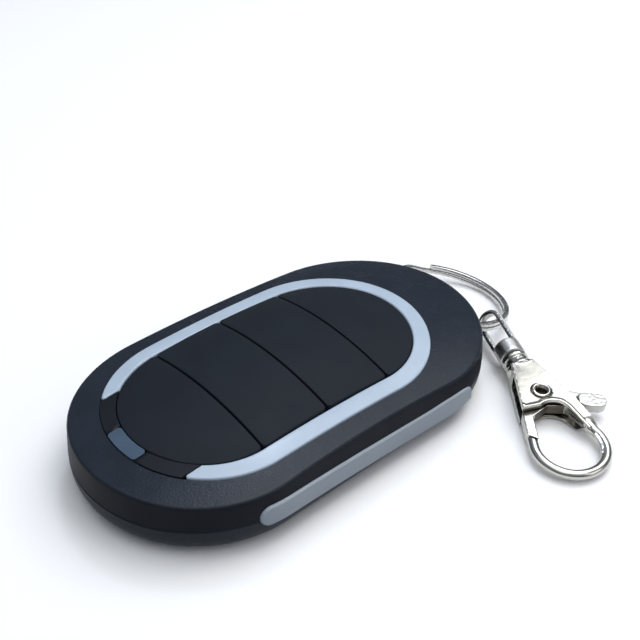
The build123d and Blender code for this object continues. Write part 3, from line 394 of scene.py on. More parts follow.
def cutter_mesh(verts, faces):
    """A closed mesh used only to cut."""
    mesh = metre_mesh("cutter", verts, faces)
    clean(mesh)
    return shown("cutter", mesh)


def cutter_block(low, high):
    """A plain block used only to cut."""
    corners = [(x, y, z) for x in (low[0], high[0]) for y in (low[1], high[1]) for z in (low[2], high[2])]
    faces = [(0, 1, 3, 2), (4, 6, 7, 5), (0, 4, 5, 1), (2, 3, 7, 6), (0, 2, 6, 4), (1, 5, 7, 3)]
    return cutter_mesh(corners, faces)


def cutter_drum(x, y, radius, low, high):
    """An upright drum used only to cut."""
    return cutter_mesh(*prism(circle(x, y, radius, DRUM_POINTS), low, high))


# Housing outline: points round it, each with its outward direction

def shell_height(x, y):
    """Height of the cover's domed top."""
    return dome(SHELL_CROWN_Z, CROWN_ACROSS, CROWN_ALONG, x, y)


def dome(top, across, along, x, y):
    """Surface of a barrel domed both across and along."""
    ridge = top - along + sqrt(along**2 - y**2)
    radius = ridge - (top - across)
    return top - across + sqrt(radius**2 - x**2)


def arc_points(centre, radius, start, end, count):
    """Points on an arc, without its last, each with the direction away from the centre."""
    for i in range(count):
        a = start + (end - start) * i / count
        yield (centre[0] + radius * cos(a), centre[1] + radius * sin(a), cos(a), sin(a))


def outline_points():
    """The housing's outline: LED end, +X side, key end, -X side."""
    led_reach, key_reach = LED_END_RADIUS + SIDE_RADIUS, KEY_END_RADIUS + SIDE_RADIUS
    span = KEY_END_Y - LED_END_Y
    rise = (led_reach**2 - key_reach**2 + span**2) / (2 * span)
    side_x = sqrt(led_reach**2 - rise**2)
    side_y = LED_END_Y + rise
    led_tilt, key_tilt = asin(rise / led_reach), asin((span - rise) / key_reach)
    points = list(arc_points((0, LED_END_Y), LED_END_RADIUS, -pi - led_tilt, led_tilt, END_POINTS))
    for x, y, nx, ny in arc_points((side_x, side_y), SIDE_RADIUS, pi + led_tilt, pi - key_tilt, SIDE_POINTS):
        points.append((x, y, -nx, -ny))
    points += arc_points((0, KEY_END_Y), KEY_END_RADIUS, -key_tilt, pi + key_tilt, END_POINTS)
    for x, y, nx, ny in arc_points((-side_x, side_y), SIDE_RADIUS, key_tilt, -led_tilt, SIDE_POINTS):
        points.append((x, y, -nx, -ny))
    return points


def pill_points(radius, led_y=-PILL_HALF):
    """The keypad's oval, with as many points as the housing's outline and in step with them."""
    points = [(x, y) for x, y, _, _ in arc_points((0, led_y), radius, -pi, 0, END_POINTS)]
    points += [(radius, led_y + (PILL_HALF - led_y) * i / SIDE_POINTS) for i in range(SIDE_POINTS)]
    points += [(x, y) for x, y, _, _ in arc_points((0, PILL_HALF), radius, 0, pi, END_POINTS)]
    points += [(-radius, PILL_HALF - (PILL_HALF - led_y) * i / SIDE_POINTS) for i in range(SIDE_POINTS)]
    return points


def rim_points(grow):
    """The band's outer outline, which comes closer to the keypad at the indicator's end."""
    return pill_points(BAND_OUTER + grow, BAND_OUTER - BAND_INNER - BAND_END_WIDTH - PILL_HALF)


OUTLINE = outline_points()
FLANK = [point for point in OUTLINE if point[0] > FLANK_X]


def wall_ring(offset, height, back=None):
    """The outline moved outwards by an offset, at a height, kept in front of a plane."""
    ring = []
    for x, y, nx, ny in OUTLINE:
        y_here = y + ny * offset
        ring.append((x + nx * offset, y_here if back is None else min(y_here, back), height))
    return ring


def wall_lean(z):
    """How far out of the outline the cover's wall is at a height: its draft leans it inwards."""
    return -(z - PART_Z) * tan(DRAFT)


def crease_column(x, y, nx, ny):
    """The crease above one point of the outline, from wall to dome: distances out of it and heights."""
    z = SHELL_CROWN_Z
    for _ in range(CREASE_PASSES):
        n = wall_lean(z)
        z = shell_height(x + nx * n, y + ny * n)
    n = wall_lean(z)
    probe = n - CREASE_PROBE
    slope = (shell_height(x + nx * probe, y + ny * probe) - z) / CREASE_PROBE
    up = Vector((-sin(DRAFT), cos(DRAFT)))
    turn = up.angle(Vector((-1, slope)).normalized())
    start = Vector((n, z)) - up * (CREASE_RADIUS * tan(turn / 2))
    centre = start + Vector((-cos(DRAFT), -sin(DRAFT))) * CREASE_RADIUS
    column = []
    for k in range(ROUND_STEPS + 1):
        arm = Vector((cos(DRAFT), sin(DRAFT)))
        arm.rotate(Matrix.Rotation(turn * k / ROUND_STEPS, 2))
        column.append(centre + arm * CREASE_RADIUS)
    return column


def crease_rings():
    """Rings up the cover's wall, round the crease and onto the dome."""
    columns = [crease_column(*point) for point in OUTLINE]
    rings = []
    for k in range(ROUND_STEPS + 1):
        ring = []
        for (x, y, nx, ny), column in zip(OUTLINE, columns):
            n, z = column[k]
            ring.append((x + nx * n, y + ny * n, z))
        rings.append(ring)
    return rings


def cover_rings():
    """Every ring of the cover, from its parting edge over the top and back inside."""
    rings = [wall_ring(-SEAM_CHAMFER, PART_Z), wall_ring(0, PART_Z + SEAM_CHAMFER)]
    crease = crease_rings()
    rings += crease
    edge = rim_points(BAND_GAP)
    for k in range(1, TOP_STEPS + 1):
        share = k / TOP_STEPS
        ring = []
        for (x, y, _), (px, py) in zip(crease[-1], edge):
            xx, yy = x + (px - x) * share, y + (py - y) * share
            ring.append((xx, yy, shell_height(xx, yy)))
        rings.append(ring)
    hole = pill_points(BAND_INNER)
    for plan, drop in ((edge, BAND_DEPTH), (hole, BAND_DEPTH), (hole, ROOF)):
        rings.append([(x, y, shell_height(x, y) - drop) for x, y in plan])
    inner = [(x - nx * WALL, min(y - ny * WALL, INNER_BACK_Y)) for x, y, nx, ny in OUTLINE]
    rings.append([(x * ROOF_SHARE, y * ROOF_SHARE, shell_height(x, y) - ROOF) for x, y in inner])
    rings.append([(x, y, PART_Z) for x, y in inner])
    rings.append(rings[0])
    return rings


def tray_rings():
    """Every ring of the tray, from its base round its edge to the parting line and back inside."""
    rings = []
    for k in range(ROUND_STEPS + 1):
        a = pi / 2 * k / ROUND_STEPS
        rings.append(wall_ring(-BASE_EDGE_RADIUS * (1 - sin(a)), BASE_EDGE_RADIUS * (1 - cos(a))))
    rings += [wall_ring(0, PART_Z - SEAM_CHAMFER), wall_ring(-SEAM_CHAMFER, PART_Z)]
    return rings + [wall_ring(-WALL, z, INNER_BACK_Y) for z in (PART_Z, FLOOR)]


def strip_middle(y):
    """Height of the strip's middle, which falls a little towards the key ring."""
    share = min(max((y - STRIP_FRONT_Y) / (STRIP_REAR_Y - STRIP_FRONT_Y), 0), 1)
    share = share**2 * (3 - 2 * share)
    return PART_Z + STRIP_FRONT_LIFT + (STRIP_REAR_LIFT - STRIP_FRONT_LIFT) * share


def strip_edges(gap):
    """Side strip seen from the side: its upper and its lower edge, as (y, z) from the front."""
    half = STRIP_HEIGHT / 2 + gap
    front, rear = STRIP_FRONT_Y - gap, STRIP_REAR_Y + gap
    nose_y = front + half
    turns = [pi / 2 * i / NOSE_STEPS for i in range(NOSE_STEPS)]
    nose = [(nose_y - half * cos(a), half * sin(a)) for a in turns]
    start, end = Vector((rear - STRIP_REAR_TAPER, half)), Vector((rear, -half / 2))
    chord = (end - start).length
    upper = nose + [(nose_y + (start.x - nose_y) * i / UPPER_STEPS, half) for i in range(UPPER_STEPS)]
    for i in range(TAPER_STEPS + 1):
        t = i / TAPER_STEPS
        near, near_way = 2 * t**3 - 3 * t**2 + 1, t**3 - 2 * t**2 + t
        far, far_way = 3 * t**2 - 2 * t**3, t**3 - t**2
        p = start * near + Vector((chord, 0)) * near_way + end * far + Vector((0, -chord)) * far_way
        upper.append((p.x, p.y))
    lower = [(y, -z) for y, z in nose]
    lower += [(nose_y + (rear - nose_y) * i / LOWER_STEPS, -half) for i in range(LOWER_STEPS + 1)]
    return [[(y, z + strip_middle(y)) for y, z in edge] for edge in (upper, lower)]


def width_at(y, offset):
    """Half width of the outline at y, between its nearest two points."""
    side = sorted((py + ny * offset, px + nx * offset) for px, py, nx, ny in FLANK)
    for (y0, x0), (y1, x1) in zip(side, side[1:]):
        if y0 <= y <= y1:
            return x0 + (x1 - x0) * (y - y0) / (y1 - y0)
    return side[0][1] if y < side[0][0] else side[-1][1]


def strip_solid(gap, sign, edge, out):
    """Points and faces of a strip: its back, its rounded edge and its face."""
    upper, lower = strip_edges(gap)
    ring = upper + lower[:0:-1]
    rings = [[(sign * width_at(y, -STRIP_DEPTH - gap), y, z) for y, z in ring]]
    for k in range(EDGE_STEPS + 1):
        a = pi / 2 * k / EDGE_STEPS
        inset = inset_ring(ring, edge * (1 - cos(a)))
        rings.append([(sign * (width_at(y, out) - edge * (1 - sin(a))), y, z) for y, z in inset])
    verts, faces = loft(rings)
    count = len(ring)
    for first in (0, (len(rings) - 1) * count):
        faces += [tuple(first + i for i in face) for face in laced(ring, len(upper))]
    return verts, faces


def laced(ring, split):
    """Triangles between a ring's upper edge and its lower one, each kept short along the strip."""
    high, low = list(range(split)), [0] + list(range(len(ring) - 1, split - 1, -1))
    faces, i, j = [], 0, 0
    while i < len(high) - 1 or j < len(low) - 1:
        if j == len(low) - 1 or (i < len(high) - 1 and ring[high[i + 1]][0] <= ring[low[j + 1]][0]):
            face = (high[i], high[i + 1], low[j])
            i += 1
        else:
            face = (high[i], low[j + 1], low[j])
            j += 1
        if len(set(face)) == 3:
            faces.append(face)
    return faces


def inset_ring(ring, distance):
    """A flat closed ring moved inwards."""
    result = []
    count = len(ring)
    area = sum(ring[i - 1][0] * ring[i][1] - ring[i][0] * ring[i - 1][1] for i in range(count))
    turn = 1 if area > 0 else -1
    for i in range(count):
        before, here, after = Vector(ring[i - 1]), Vector(ring[i]), Vector(ring[(i + 1) % count])
        way = (after - before).normalized()
        result.append((here.x - way.y * distance * turn, here.y + way.x * distance * turn))
    return result


def build_shells():
    """Cover and tray, with the screws' recesses, the key ring's slot and the strips' seats cut in them."""
    cover = new_piece("upper_cover", *loft(cover_rings()), GRAINED_ABS, "housing", "top_shell")
    tray = new_piece("lower_tray", *loft(tray_rings(), True, True), TRAY_ABS, "housing", "bottom_shell")
    for x, y in SCREW_SPOTS:
        cut(tray, cutter_drum(x, y, SCREW_RECESS_RADIUS, -CUT_PAST, SCREW_RECESS_DEPTH))
        cut(tray, cutter_drum(x, y, SCREW_HOLE_RADIUS, 0.0, FLOOR + CUT_PAST))
    for piece in (cover, tray):
        cut(piece, cutter_block((-SLOT_HALF_WIDTH, SLOT_BACK_Y, SLOT_LOW),
                                (SLOT_HALF_WIDTH, BEYOND_Y, SLOT_HIGH)))
        for sign in (1, -1):
            cut(piece, cutter_mesh(*strip_solid(BAND_GAP, sign, 0, STRIP_CLEAR)))
        smooth(piece.data, SMOOTH_ANGLE)
    # The cover's steep, low faces take a darker copy of its material: painted shade on its walls
    cover.data.materials.append(SHADED_SIDE_ABS)
    for face in cover.data.polygons:
        face.material_index = int(abs(face.normal.z) < SIDE_SLOPE and face.center.z < SIDE_TOP * MM)


def build_strips():
    """The two side strips."""
    for sign, side in ((1, "right"), (-1, "left")):
        strip = strip_solid(0, sign, STRIP_EDGE, STRIP_PROUD)
        new_piece(f"grip_strip_{side}", *strip, GREY_STRIP, "housing", f"side_strip_{side}")


build_shells()
build_strips()

PLAIN = {
    "led_bezel": ("window_bezel", BEZEL_ABS), "led_window": ("lamp_window", SMOKE_WINDOW),
    "trim_ring": ("keypad_trim", SILVER_PAINT),
    "ring_pin": ("key_ring_pin", ZINC_STEEL), "housing_screws": ("case_screws", ZINC_STEEL),
    "circuit_board": ("board", SOLDER_MASK), "indicator_led": ("lamp", LAMP_LENS),
    "radio_chip": ("radio_ic", CHIP_EPOXY), "resonator": ("resonator_can", ZINC_STEEL),
    "coin_cell": ("cell", CELL_STEEL), "contact_minus": ("lower_contact", SPRING_STEEL),
    "contact_plus": ("upper_contact", SPRING_STEEL),
}
for n in range(1, 5):
    PLAIN[f"tact_switch_{n}"] = (f"push_switch_{n}", SWITCH_NYLON)
    PLAIN[f"switch_plunger_{n}"] = (f"switch_stem_{n}", PLUNGER_NYLON)
BODY_OF = {node: body for body, nodes in frame["record"]["behaviour"]["bodies"].items() for node in nodes}
for node, (name, material) in PLAIN.items():
    copy_piece(name, node, material, BODY_OF[node])


# Button caps: hollow, with a retaining flange and the post over the switch

def cap_middle(row):
    """Where a cap's middle is on y."""
    return (row - (BUTTON_COUNT - 1) / 2) * BUTTON_PITCH


def cap_plan(row, reach, half_gap, corner):
    """Plan of a cap, as a ring of points: a middle one has four sides, an end one has a round side."""
    if 0 < row < BUTTON_COUNT - 1:
        return middle_plan(row, reach, half_gap, corner)
    return end_plan(row, reach, half_gap, corner)


def middle_plan(row, reach, half_gap, corner):
    """Plan of a middle cap: four straight sides with rounded corners."""
    low, high = (row - 2) * BUTTON_PITCH + half_gap, (row - 1) * BUTTON_PITCH - half_gap
    inner = reach - corner
    corners = ((inner, low + corner, -pi / 2), (inner, high - corner, 0),
               (-inner, high - corner, pi / 2), (-inner, low + corner, pi))
    points = []
    for k, (x, y, start) in enumerate(corners):
        points += [p[:2] for p in arc_points((x, y), corner, start, start + pi / 2, CAP_CORNER_STEPS)]
        last = (x + corner * cos(start + pi / 2), y + corner * sin(start + pi / 2))
        nx, ny, turn = corners[(k + 1) % 4]
        first = (nx + corner * cos(turn), ny + corner * sin(turn))
        points += [tuple(a + (b - a) * i / CAP_SIDE_STEPS for a, b in zip(last, first))
                   for i in range(CAP_SIDE_STEPS)]
    return points


def end_plan(row, reach, half_gap, corner):
    """Plan of an end cap: an arc, and a straight side towards its neighbour."""
    inner = reach - corner
    chord = BUTTON_PITCH + half_gap
    lean = asin((chord + corner - PILL_HALF) / reach)
    points = list(arc_points((0, PILL_HALF), reach, lean, pi - lean, CAP_END_STEPS))
    points += arc_points((-inner, chord + corner), corner, pi, 3 * pi / 2, CAP_CORNER_STEPS)
    points += [(-inner + 2 * inner * i / CAP_CHORD_STEPS, chord) for i in range(CAP_CHORD_STEPS)]
    points += arc_points((inner, chord + corner), corner, -pi / 2, 0, CAP_CORNER_STEPS)
    sign = 1 if row else -1
    return [(p[0], sign * p[1]) for p in points]


def cap_top(x, y):
    """Height of the keypad's domed surface."""
    return dome(BUTTON_CROWN_Z, BUTTON_ACROSS, BUTTON_ALONG, x, y)


def shrunk(plan, middle, share, drop):
    """A plan drawn in towards its middle, laid below the keypad's dome."""
    spots = [(x * share, middle + (y - middle) * share) for x, y in plan]
    return [(x, y, cap_top(x, y) - drop) for x, y in spots]


def cap_rings(row):
    """Every ring of a cap: underside, inner wall, flange, outer wall, soft edge and dome."""
    middle = cap_middle(row)
    shares = [CAP_CORE] + [k / CAP_RINGS for k in range(1, CAP_RINGS)]
    inner = cap_plan(row, CAP_REACH - CAP_WALL, CAP_HALF_GAP + CAP_WALL, CAP_CORNER)
    outer = cap_plan(row, CAP_REACH, CAP_HALF_GAP, CAP_CORNER)
    flange = cap_plan(row, BAND_INNER + FLANGE_REACH, CAP_HALF_GAP, CAP_CORNER)
    rings = [shrunk(inner, middle, share, CAP_WALL) for share in shares + [1]]
    rings += [[(x, y, BUTTON_BASE_Z) for x, y in plan] for plan in (inner, flange)]
    for plan in (flange, outer):
        rings.append([(x, y, shell_height(x, y) - ROOF - FLANGE_GAP) for x, y in plan])
    for k in range(EDGE_STEPS + 1):
        a = pi / 2 * k / EDGE_STEPS
        inset, drop = CAP_EDGE * (1 - cos(a)), CAP_EDGE * (1 - sin(a))
        top = cap_plan(row, CAP_REACH - inset, CAP_HALF_GAP + inset, CAP_CORNER - inset)
        rings.append([(x, y, cap_top(x, y) - drop) for x, y in top])
    return rings + [shrunk(top, middle, share, 0) for share in shares[::-1]]


def build_caps():
    """Four caps, each in one skin with the post over its switch."""
    for row in range(BUTTON_COUNT):
        middle = cap_middle(row)
        verts, faces = loft(cap_rings(row), True, True)
        post_verts, post_faces = prism(circle(0, middle, CAP_POST, POST_POINTS),
                                       PLUNGER_TOP, cap_top(0, middle) - CAP_WALL / 2)
        faces += [tuple(i + len(verts) for i in face) for face in post_faces]
        name = f"button_{row + 1}"
        new_piece(f"key_cap_{row + 1}", verts + post_verts, faces, CAP_ABS, BODY_OF[name], name)


build_caps()


# Key ring and clasp: frames, raw forms in millimetres, and one skin over each casting

def own_frame(origin, out, up):
    """From a piece's own axes to the object's: x along it, z up from it."""
    side = up.cross(out)
    return Matrix(((out.x, side.x, up.x, origin.x), (out.y, side.y, up.y, origin.y),
                   (out.z, side.z, up.z, origin.z), (0, 0, 0, 1)))


def ring_frame():
    """The split ring's frame at rest: x away from the pin, z along its axis."""
    out = Vector((-sin(RING_SWING) * cos(RING_TILT), cos(RING_SWING) * cos(RING_TILT), -sin(RING_TILT)))
    level = Vector((-sin(RING_SWING) * sin(RING_TILT), cos(RING_SWING) * sin(RING_TILT), cos(RING_TILT)))
    up = level * cos(RING_ROLL) - level.cross(out) * sin(RING_ROLL)
    return own_frame(Vector((0, PIN_Y, RING_Z)) + out * RING_OFFSET, out, up)


RING_WIRE_AT = RING_OUTER - RING_WIRE_WIDTH / 2
RING_FRAME = ring_frame()
WIRE_POINT = RING_FRAME @ Vector((RING_WIRE_AT * cos(EYE_ANGLE), RING_WIRE_AT * sin(EYE_ANGLE), 0))
HOOK_PATH_RADIUS = HOOK_OUTER - HOOK_BAR_RADIUS
PITCH = asin((WIRE_POINT.z - HOOK_BAR_RADIUS - TABLE_GAP) / (HOOK_X + HOOK_PATH_RADIUS))
CLASP_OUT = Vector((cos(PITCH) * cos(CLASP_HEADING), cos(PITCH) * sin(CLASP_HEADING), -sin(PITCH)))
CLASP_UP = Vector((sin(PITCH) * cos(CLASP_HEADING), sin(PITCH) * sin(CLASP_HEADING), cos(PITCH)))
CLASP_FRAME = own_frame(WIRE_POINT, CLASP_OUT, CLASP_UP)
CLASP_BACK = CLASP_FRAME.inverted()
EYE_UP = CLASP_UP * cos(EYE_ROLL) - CLASP_UP.cross(CLASP_OUT) * sin(EYE_ROLL)
EYE_FRAME = own_frame(WIRE_POINT, CLASP_OUT, EYE_UP)
LIMB_ANGLE = (asin(HOOK_OUTER / hypot(HOOK_X - SHOULDER_X, SHOULDER_HALF_WIDTH))
              - atan2(SHOULDER_HALF_WIDTH, HOOK_X - SHOULDER_X))


def sweep_tree():
    """Geometry Nodes: a bar with rounded edges swept along the edges of a mesh."""
    tree = bpy.data.node_groups.new("rounded bar along a path", "GeometryNodeTree")
    for name, kind in (("Path", "Geometry"), ("Width", "Float"), ("Height", "Float"),
                       ("Edge radius", "Float"), ("Material", "Material")):
        tree.interface.new_socket(name, in_out="INPUT", socket_type="NodeSocket" + kind)
    tree.interface.new_socket("Bar", in_out="OUTPUT", socket_type="NodeSocketGeometry")
    given = put(tree, "NodeGroupInput").outputs
    path = put(tree, "GeometryNodeMeshToCurve", {"Mesh": given["Path"]})
    level = put(tree, "GeometryNodeSetCurveNormal", {"Curve": path.outputs["Curve"]}, mode="Z_UP")
    section = put(tree, "GeometryNodeCurvePrimitiveQuadrilateral",
                  {"Width": given["Width"], "Height": given["Height"]})
    rounded = put(tree, "GeometryNodeFilletCurve",
                  {"Curve": section.outputs["Curve"], "Radius": given["Edge radius"]}, {"Count": 4},
                  mode="POLY")
    skin = put(tree, "GeometryNodeCurveToMesh",
               {"Curve": level.outputs["Curve"], "Profile Curve": rounded.outputs["Curve"]},
               {"Fill Caps": True})
    real = put(tree, "GeometryNodeRealizeInstances", {"Geometry": skin.outputs["Mesh"]})
    done = put(tree, "GeometryNodeSetMaterial",
               {"Geometry": real.outputs["Geometry"], "Material": given["Material"]})
    put(tree, "NodeGroupOutput", {"Bar": done.outputs["Geometry"]})
    return tree


SWEEP = sweep_tree()


def swept(points, place, width, height, edge, material):
    """Mesh, in millimetres, of a bar along points in a frame: its width lies level in that frame."""
    mesh = bpy.data.meshes.new("path")
    mesh.from_pydata(points, [(i, i + 1) for i in range(len(points) - 1)], [])
    carrier = shown("path", mesh)
    step = carrier.modifiers.new("sweep", "NODES")
    step.node_group = SWEEP
    sizes = {"Width": width, "Height": height, "Edge radius": edge, "Material": material}
    for socket in SWEEP.interface.items_tree:
        if socket.name in sizes:
            step[socket.identifier] = sizes[socket.name]
    return taken(carrier, place)


def taken(carrier, place):
    """The plain mesh of an object's modifiers, moved into its place."""
    settle(carrier)
    mesh = carrier.data
    bpy.data.objects.remove(carrier)
    mesh.transform(place)
    return mesh


def raw(verts, faces, place):
    """A closed raw form in millimetres, moved into its place."""
    mesh = bpy.data.meshes.new("raw")
    mesh.from_pydata(verts, [], faces)
    mesh.transform(place)
    clean(mesh, MERGE)
    return mesh


def turned(profile, place, closed=False):
    """Solid of revolution about the frame's x axis from (x, radius) points, or a tube if closed."""
    rings = []
    for i in range(TURN_POINTS + 1):
        a = 2 * pi * i / TURN_POINTS
        rings.append([(x, r * cos(a), r * sin(a)) for x, r in profile])
    verts, faces = loft(rings)
    if not closed:
        faces = [f for k, f in enumerate(faces) if k % len(profile) != len(profile) - 1]
    return raw(verts, faces, place)


def casting(name, forms, passes, worn, material, body, *stands_for):
    """One skin over overlapping closed forms, worn and smoothed so that its edges are soft."""
    work = bmesh.new()
    for form in forms:
        work.from_mesh(form)
    mesh = bpy.data.meshes.new(name)
    work.to_mesh(mesh)
    work.free()
    carrier = shown(name, mesh)
    skin = carrier.modifiers.new("one skin", "REMESH")
    skin.mode = "VOXEL"
    skin.voxel_size = SKIN_CELL
    wear = carrier.modifiers.new("wear", "DISPLACE")
    wear.strength = -worn
    wear.mid_level = 0
    polish = carrier.modifiers.new("polish", "SMOOTH")
    polish.iterations = passes
    mesh = taken(carrier, Matrix.Scale(MM, 4))
    return place_piece(name, mesh, material, body, stands_for, CASTING_SMOOTH_ANGLE)


def cad_form(node, *cutters):
    """A merged copy of a CAD node in millimetres, less some cutters."""
    mesh = NODES[node].data.copy()
    mesh.transform(Matrix.Scale(1 / MM, 4))
    clean(mesh, MERGE, False)
    carrier = shown(node + "_copy", mesh)
    for cutter in cutters:
        cut(carrier, shown("cutter", cutter))
    return taken(carrier, Matrix.Identity(4))


def split_ring_path():
    """Middle of the ring's wire: a flat turn, a crossing to the next level and a second flat turn."""
    lift = (RING_WIRE_HEIGHT + RING_SLIT) / 2
    first_end = RING_ENDS_ANGLE + 360 - RING_CROSSOVER
    points = []
    for step in range(0, 2 * 360 - RING_CROSSOVER + 1, RING_STEP):
        angle = RING_ENDS_ANGLE + step
        share = min(max((angle - first_end) / RING_CROSSOVER, 0), 1)
        a = radians(angle)
        points.append((RING_WIRE_AT * cos(a), RING_WIRE_AT * sin(a), -lift * cos(pi * share)))
    return points


def eye_path():
    """Middle of the eye's strap: from the boss along one side, round the wire and back."""
    reach, bend_x = EYE_OUTER - EYE_STRAP / 2, EYE_OUTER - EYE_BOW
    turns = [pi * i / EYE_STEPS for i in range(EYE_STEPS + 1)]
    arc = [(bend_x - reach * sin(a), reach * cos(a), 0) for a in turns]
    root = BOSS_START + EYE_STRAP
    return [(root, reach, 0)] + arc + [(root, -reach, 0)]


def boss_profile():
    """Half of the eye's boss with its stem and head, as (x, radius) points."""
    end = BOSS_START + BOSS_LENGTH
    return [(BOSS_START, 0), (BOSS_START, BOSS_RADIUS - BOSS_EDGE), (BOSS_START + BOSS_EDGE, BOSS_RADIUS),
            (end - BOSS_EDGE, BOSS_RADIUS), (end, BOSS_RADIUS - BOSS_EDGE), (end, STEM_RADIUS),
            (HEAD_START, STEM_RADIUS), (HEAD_START, HEAD_RADIUS),
            (HEAD_START + HEAD_LENGTH, HEAD_RADIUS), (HEAD_START + HEAD_LENGTH, 0)]


def collar_profile():
    """Section of the ribbed collar, as (x, radius) points, out along its rim and back through its bore."""
    start, bore = BOSS_START + BOSS_LENGTH + COLLAR_GAP, STEM_RADIUS + COLLAR_GAP
    steps = [(start + along, COLLAR_RADIUS - below) for along, below in COLLAR_STEPS]
    flange = [(SHOULDER_X + past, COLLAR_RADIUS + above) for past, above in COLLAR_FLANGE]
    foot = [(SHOULDER_X + past, PLATE_HALF + above) for past, above in COLLAR_FOOT]
    return [(start, bore)] + steps + flange + foot + [(foot[-1][0], bore)]


def rivet_profile():
    """Section of the tubular rivet: a flared bore and a rolled head, mirrored for the other end."""
    head = PLATE_HALF + RIVET_HEAD_HEIGHT
    half = [(PLATE_HALF + above, RIVET_BORE + out) for above, out in RIVET_FLARE]
    half += [(head + above, RIVET_BORE + out) for above, out in RIVET_CREST]
    half += [(head + above, RIVET_HEAD + out) for above, out in RIVET_ROLL]
    half += [(PLATE_HALF + above, radius) for above, radius in RIVET_UNDER]
    return half + [(-x, r) for x, r in half[::-1]]


def limb_height(x):
    """Half thickness of the casting along the clasp: full over the plates, thinner at the hook."""
    share = min(max((x - TAPER_START_X) / (LIMB_END_X - TAPER_START_X), 0), 1)
    return PLATE_HALF + (LIMB_HALF - PLATE_HALF) * share


def side_at(x):
    """Half width of the clasp body at x, where its sides widen from the shoulder to the hook."""
    return SHOULDER_HALF_WIDTH + (x - SHOULDER_X) * tan(LIMB_ANGLE)


def arch_bead_path(inset, sink):
    """Raised bead beside the edge of the clasp's arch, from the gate's corner to the hook's limb."""
    side = side_at(GATE_GAP_START)
    spots = [(GATE_GAP_START - inset + along, aside - side) for along, aside in BEAD_START]
    reach = ARCH_RADIUS + inset
    inner = HOOK_OUTER - 2 * HOOK_BAR_RADIUS
    stop = pi / 2 + asin((inner - ARCH_RADIUS) / (HOOK_X - ARCH_X))
    for i in range(ARCH_STEPS + 1):
        a = BEAD_ARC_START + (stop - BEAD_ARC_START) * i / ARCH_STEPS
        spots.append((ARCH_X + reach * cos(a), reach * sin(a)))
    for i in range(1, LIMB_STEPS + 1):
        share = i / LIMB_STEPS
        x = ARCH_X + reach * cos(stop) + (HOOK_X - ARCH_X) * share
        spots.append((x, reach * sin(stop) + (inner - ARCH_RADIUS) * sin(stop) * share))
    return [(x, y, limb_height(x) - sink) for x, y in spots if x < LIMB_END_X + BEAD_PAST]


def arch_slot_path():
    """Middle of the slot in the arch's inner wall, level with the gate."""
    level = [(x, y, 0) for x, y, _ in arch_bead_path(ARCH_SLOT_INSET, 0) if x > ARCH_SLOT_X]
    return level[ARCH_SLOT_SPAN]


def limb_bar_path():
    """The hook's round bar carried on up the limb, until it sinks into the plate."""
    spots = []
    for i in range(BAR_STEPS + 1):
        x = LIMB_BAR_X - LIMB_BAR_LENGTH * i / BAR_STEPS
        rise = max(limb_height(x) - LIMB_HALF, 0) * LIMB_BAR_RISE
        spots.append((x, side_at(x) - HOOK_BAR_RADIUS / cos(LIMB_ANGLE), rise))
    return spots


def hook_ridge_path():
    """Low ridge that carries the arch's bead on along the inner side of the hook's bar."""
    reach = HOOK_PATH_RADIUS - RIDGE_INSET
    turns = [radians(RIDGE_START - RIDGE_TURN * i / BAR_STEPS) for i in range(BAR_STEPS + 1)]
    return [(HOOK_X + reach * cos(a), reach * sin(a), RIDGE_RISE) for a in turns]


def rivet_frame(height=0):
    """The rivet's frame, x up along it, with its origin at a height in the clasp body."""
    return CLASP_FRAME @ Matrix.Translation((RIVET_X, 0, height)) @ Matrix.Rotation(-pi / 2, 4, "Y")


def roughen_tab(lever):
    """Shallow pits that a tumbled casting keeps on the lever's thumb tab, and the tab's satin skin."""
    for vert in lever.data.vertices:
        spot = CLASP_BACK @ (vert.co / MM)
        depth = spot.y - TAB_ROOT_Y
        if depth > 0 and spot.z > TAB_TOP_Z:
            height = noise.noise(spot * PIT_RATE) + 0.5 * noise.noise(spot * (2 * PIT_RATE))
            lift = PIT_DEPTH * height * min(depth, 1.0)
            vert.co += CLASP_UP * (lift * MM)
    lever.data.materials.append(NICKEL_SATIN)
    for face in lever.data.polygons:
        spot = CLASP_BACK @ (face.center / MM)
        face.material_index = int(spot.y > TAB_ROOT_Y - TAB_SKIN and spot.z > 0)


def paint_arch_shade(piece, first, last, half_width):
    """Painted shade: a dark, dull plate on a casting's upright faces inside the arch, below its polished rim.
    """
    piece.data.materials.append(NICKEL_ARCH_SHADE)
    slot = len(piece.data.materials) - 1
    turn = CLASP_BACK.to_3x3()
    for face in piece.data.polygons:
        spot, way = CLASP_BACK @ (face.center / MM), turn @ face.normal
        toward = way.x * (ARCH_SHADE_AIM_X - spot.x) - way.y * spot.y
        if (first < spot.x < last and abs(spot.y) < half_width and abs(way.z) < ARCH_SHADE_SLOPE
                and abs(spot.z) < limb_height(spot.x) - ARCH_SHADE_RIM and toward > 0):
            face.material_index = slot


def build_ring():
    """Split ring of flat wire."""
    wire = swept(split_ring_path(), RING_FRAME, *RING_WIRE, NICKEL_WIRE)
    wire.transform(Matrix.Scale(MM, 4))
    place_piece("wound_split_ring", wire, NICKEL_WIRE, "ring", ("split_ring",), SMOOTH_ANGLE)


def build_eye():
    """Swivel eye: strap, boss and headed stem in one skin, satin from the boss on."""
    forms = [swept(eye_path(), EYE_FRAME, EYE_STRAP, EYE_STRAP_WIDTH, EYE_EDGE, NICKEL_WIRE),
             turned(boss_profile(), CLASP_FRAME)]
    eye = casting("clasp_eye", forms, EYE_PASSES, 0.0, NICKEL_WIRE, BODY_OF["swivel_eye"], "swivel_eye")
    eye.data.materials.append(NICKEL_SATIN)
    for face in eye.data.polygons:
        face.material_index = int((CLASP_BACK @ (face.center / MM)).x > BOSS_START)


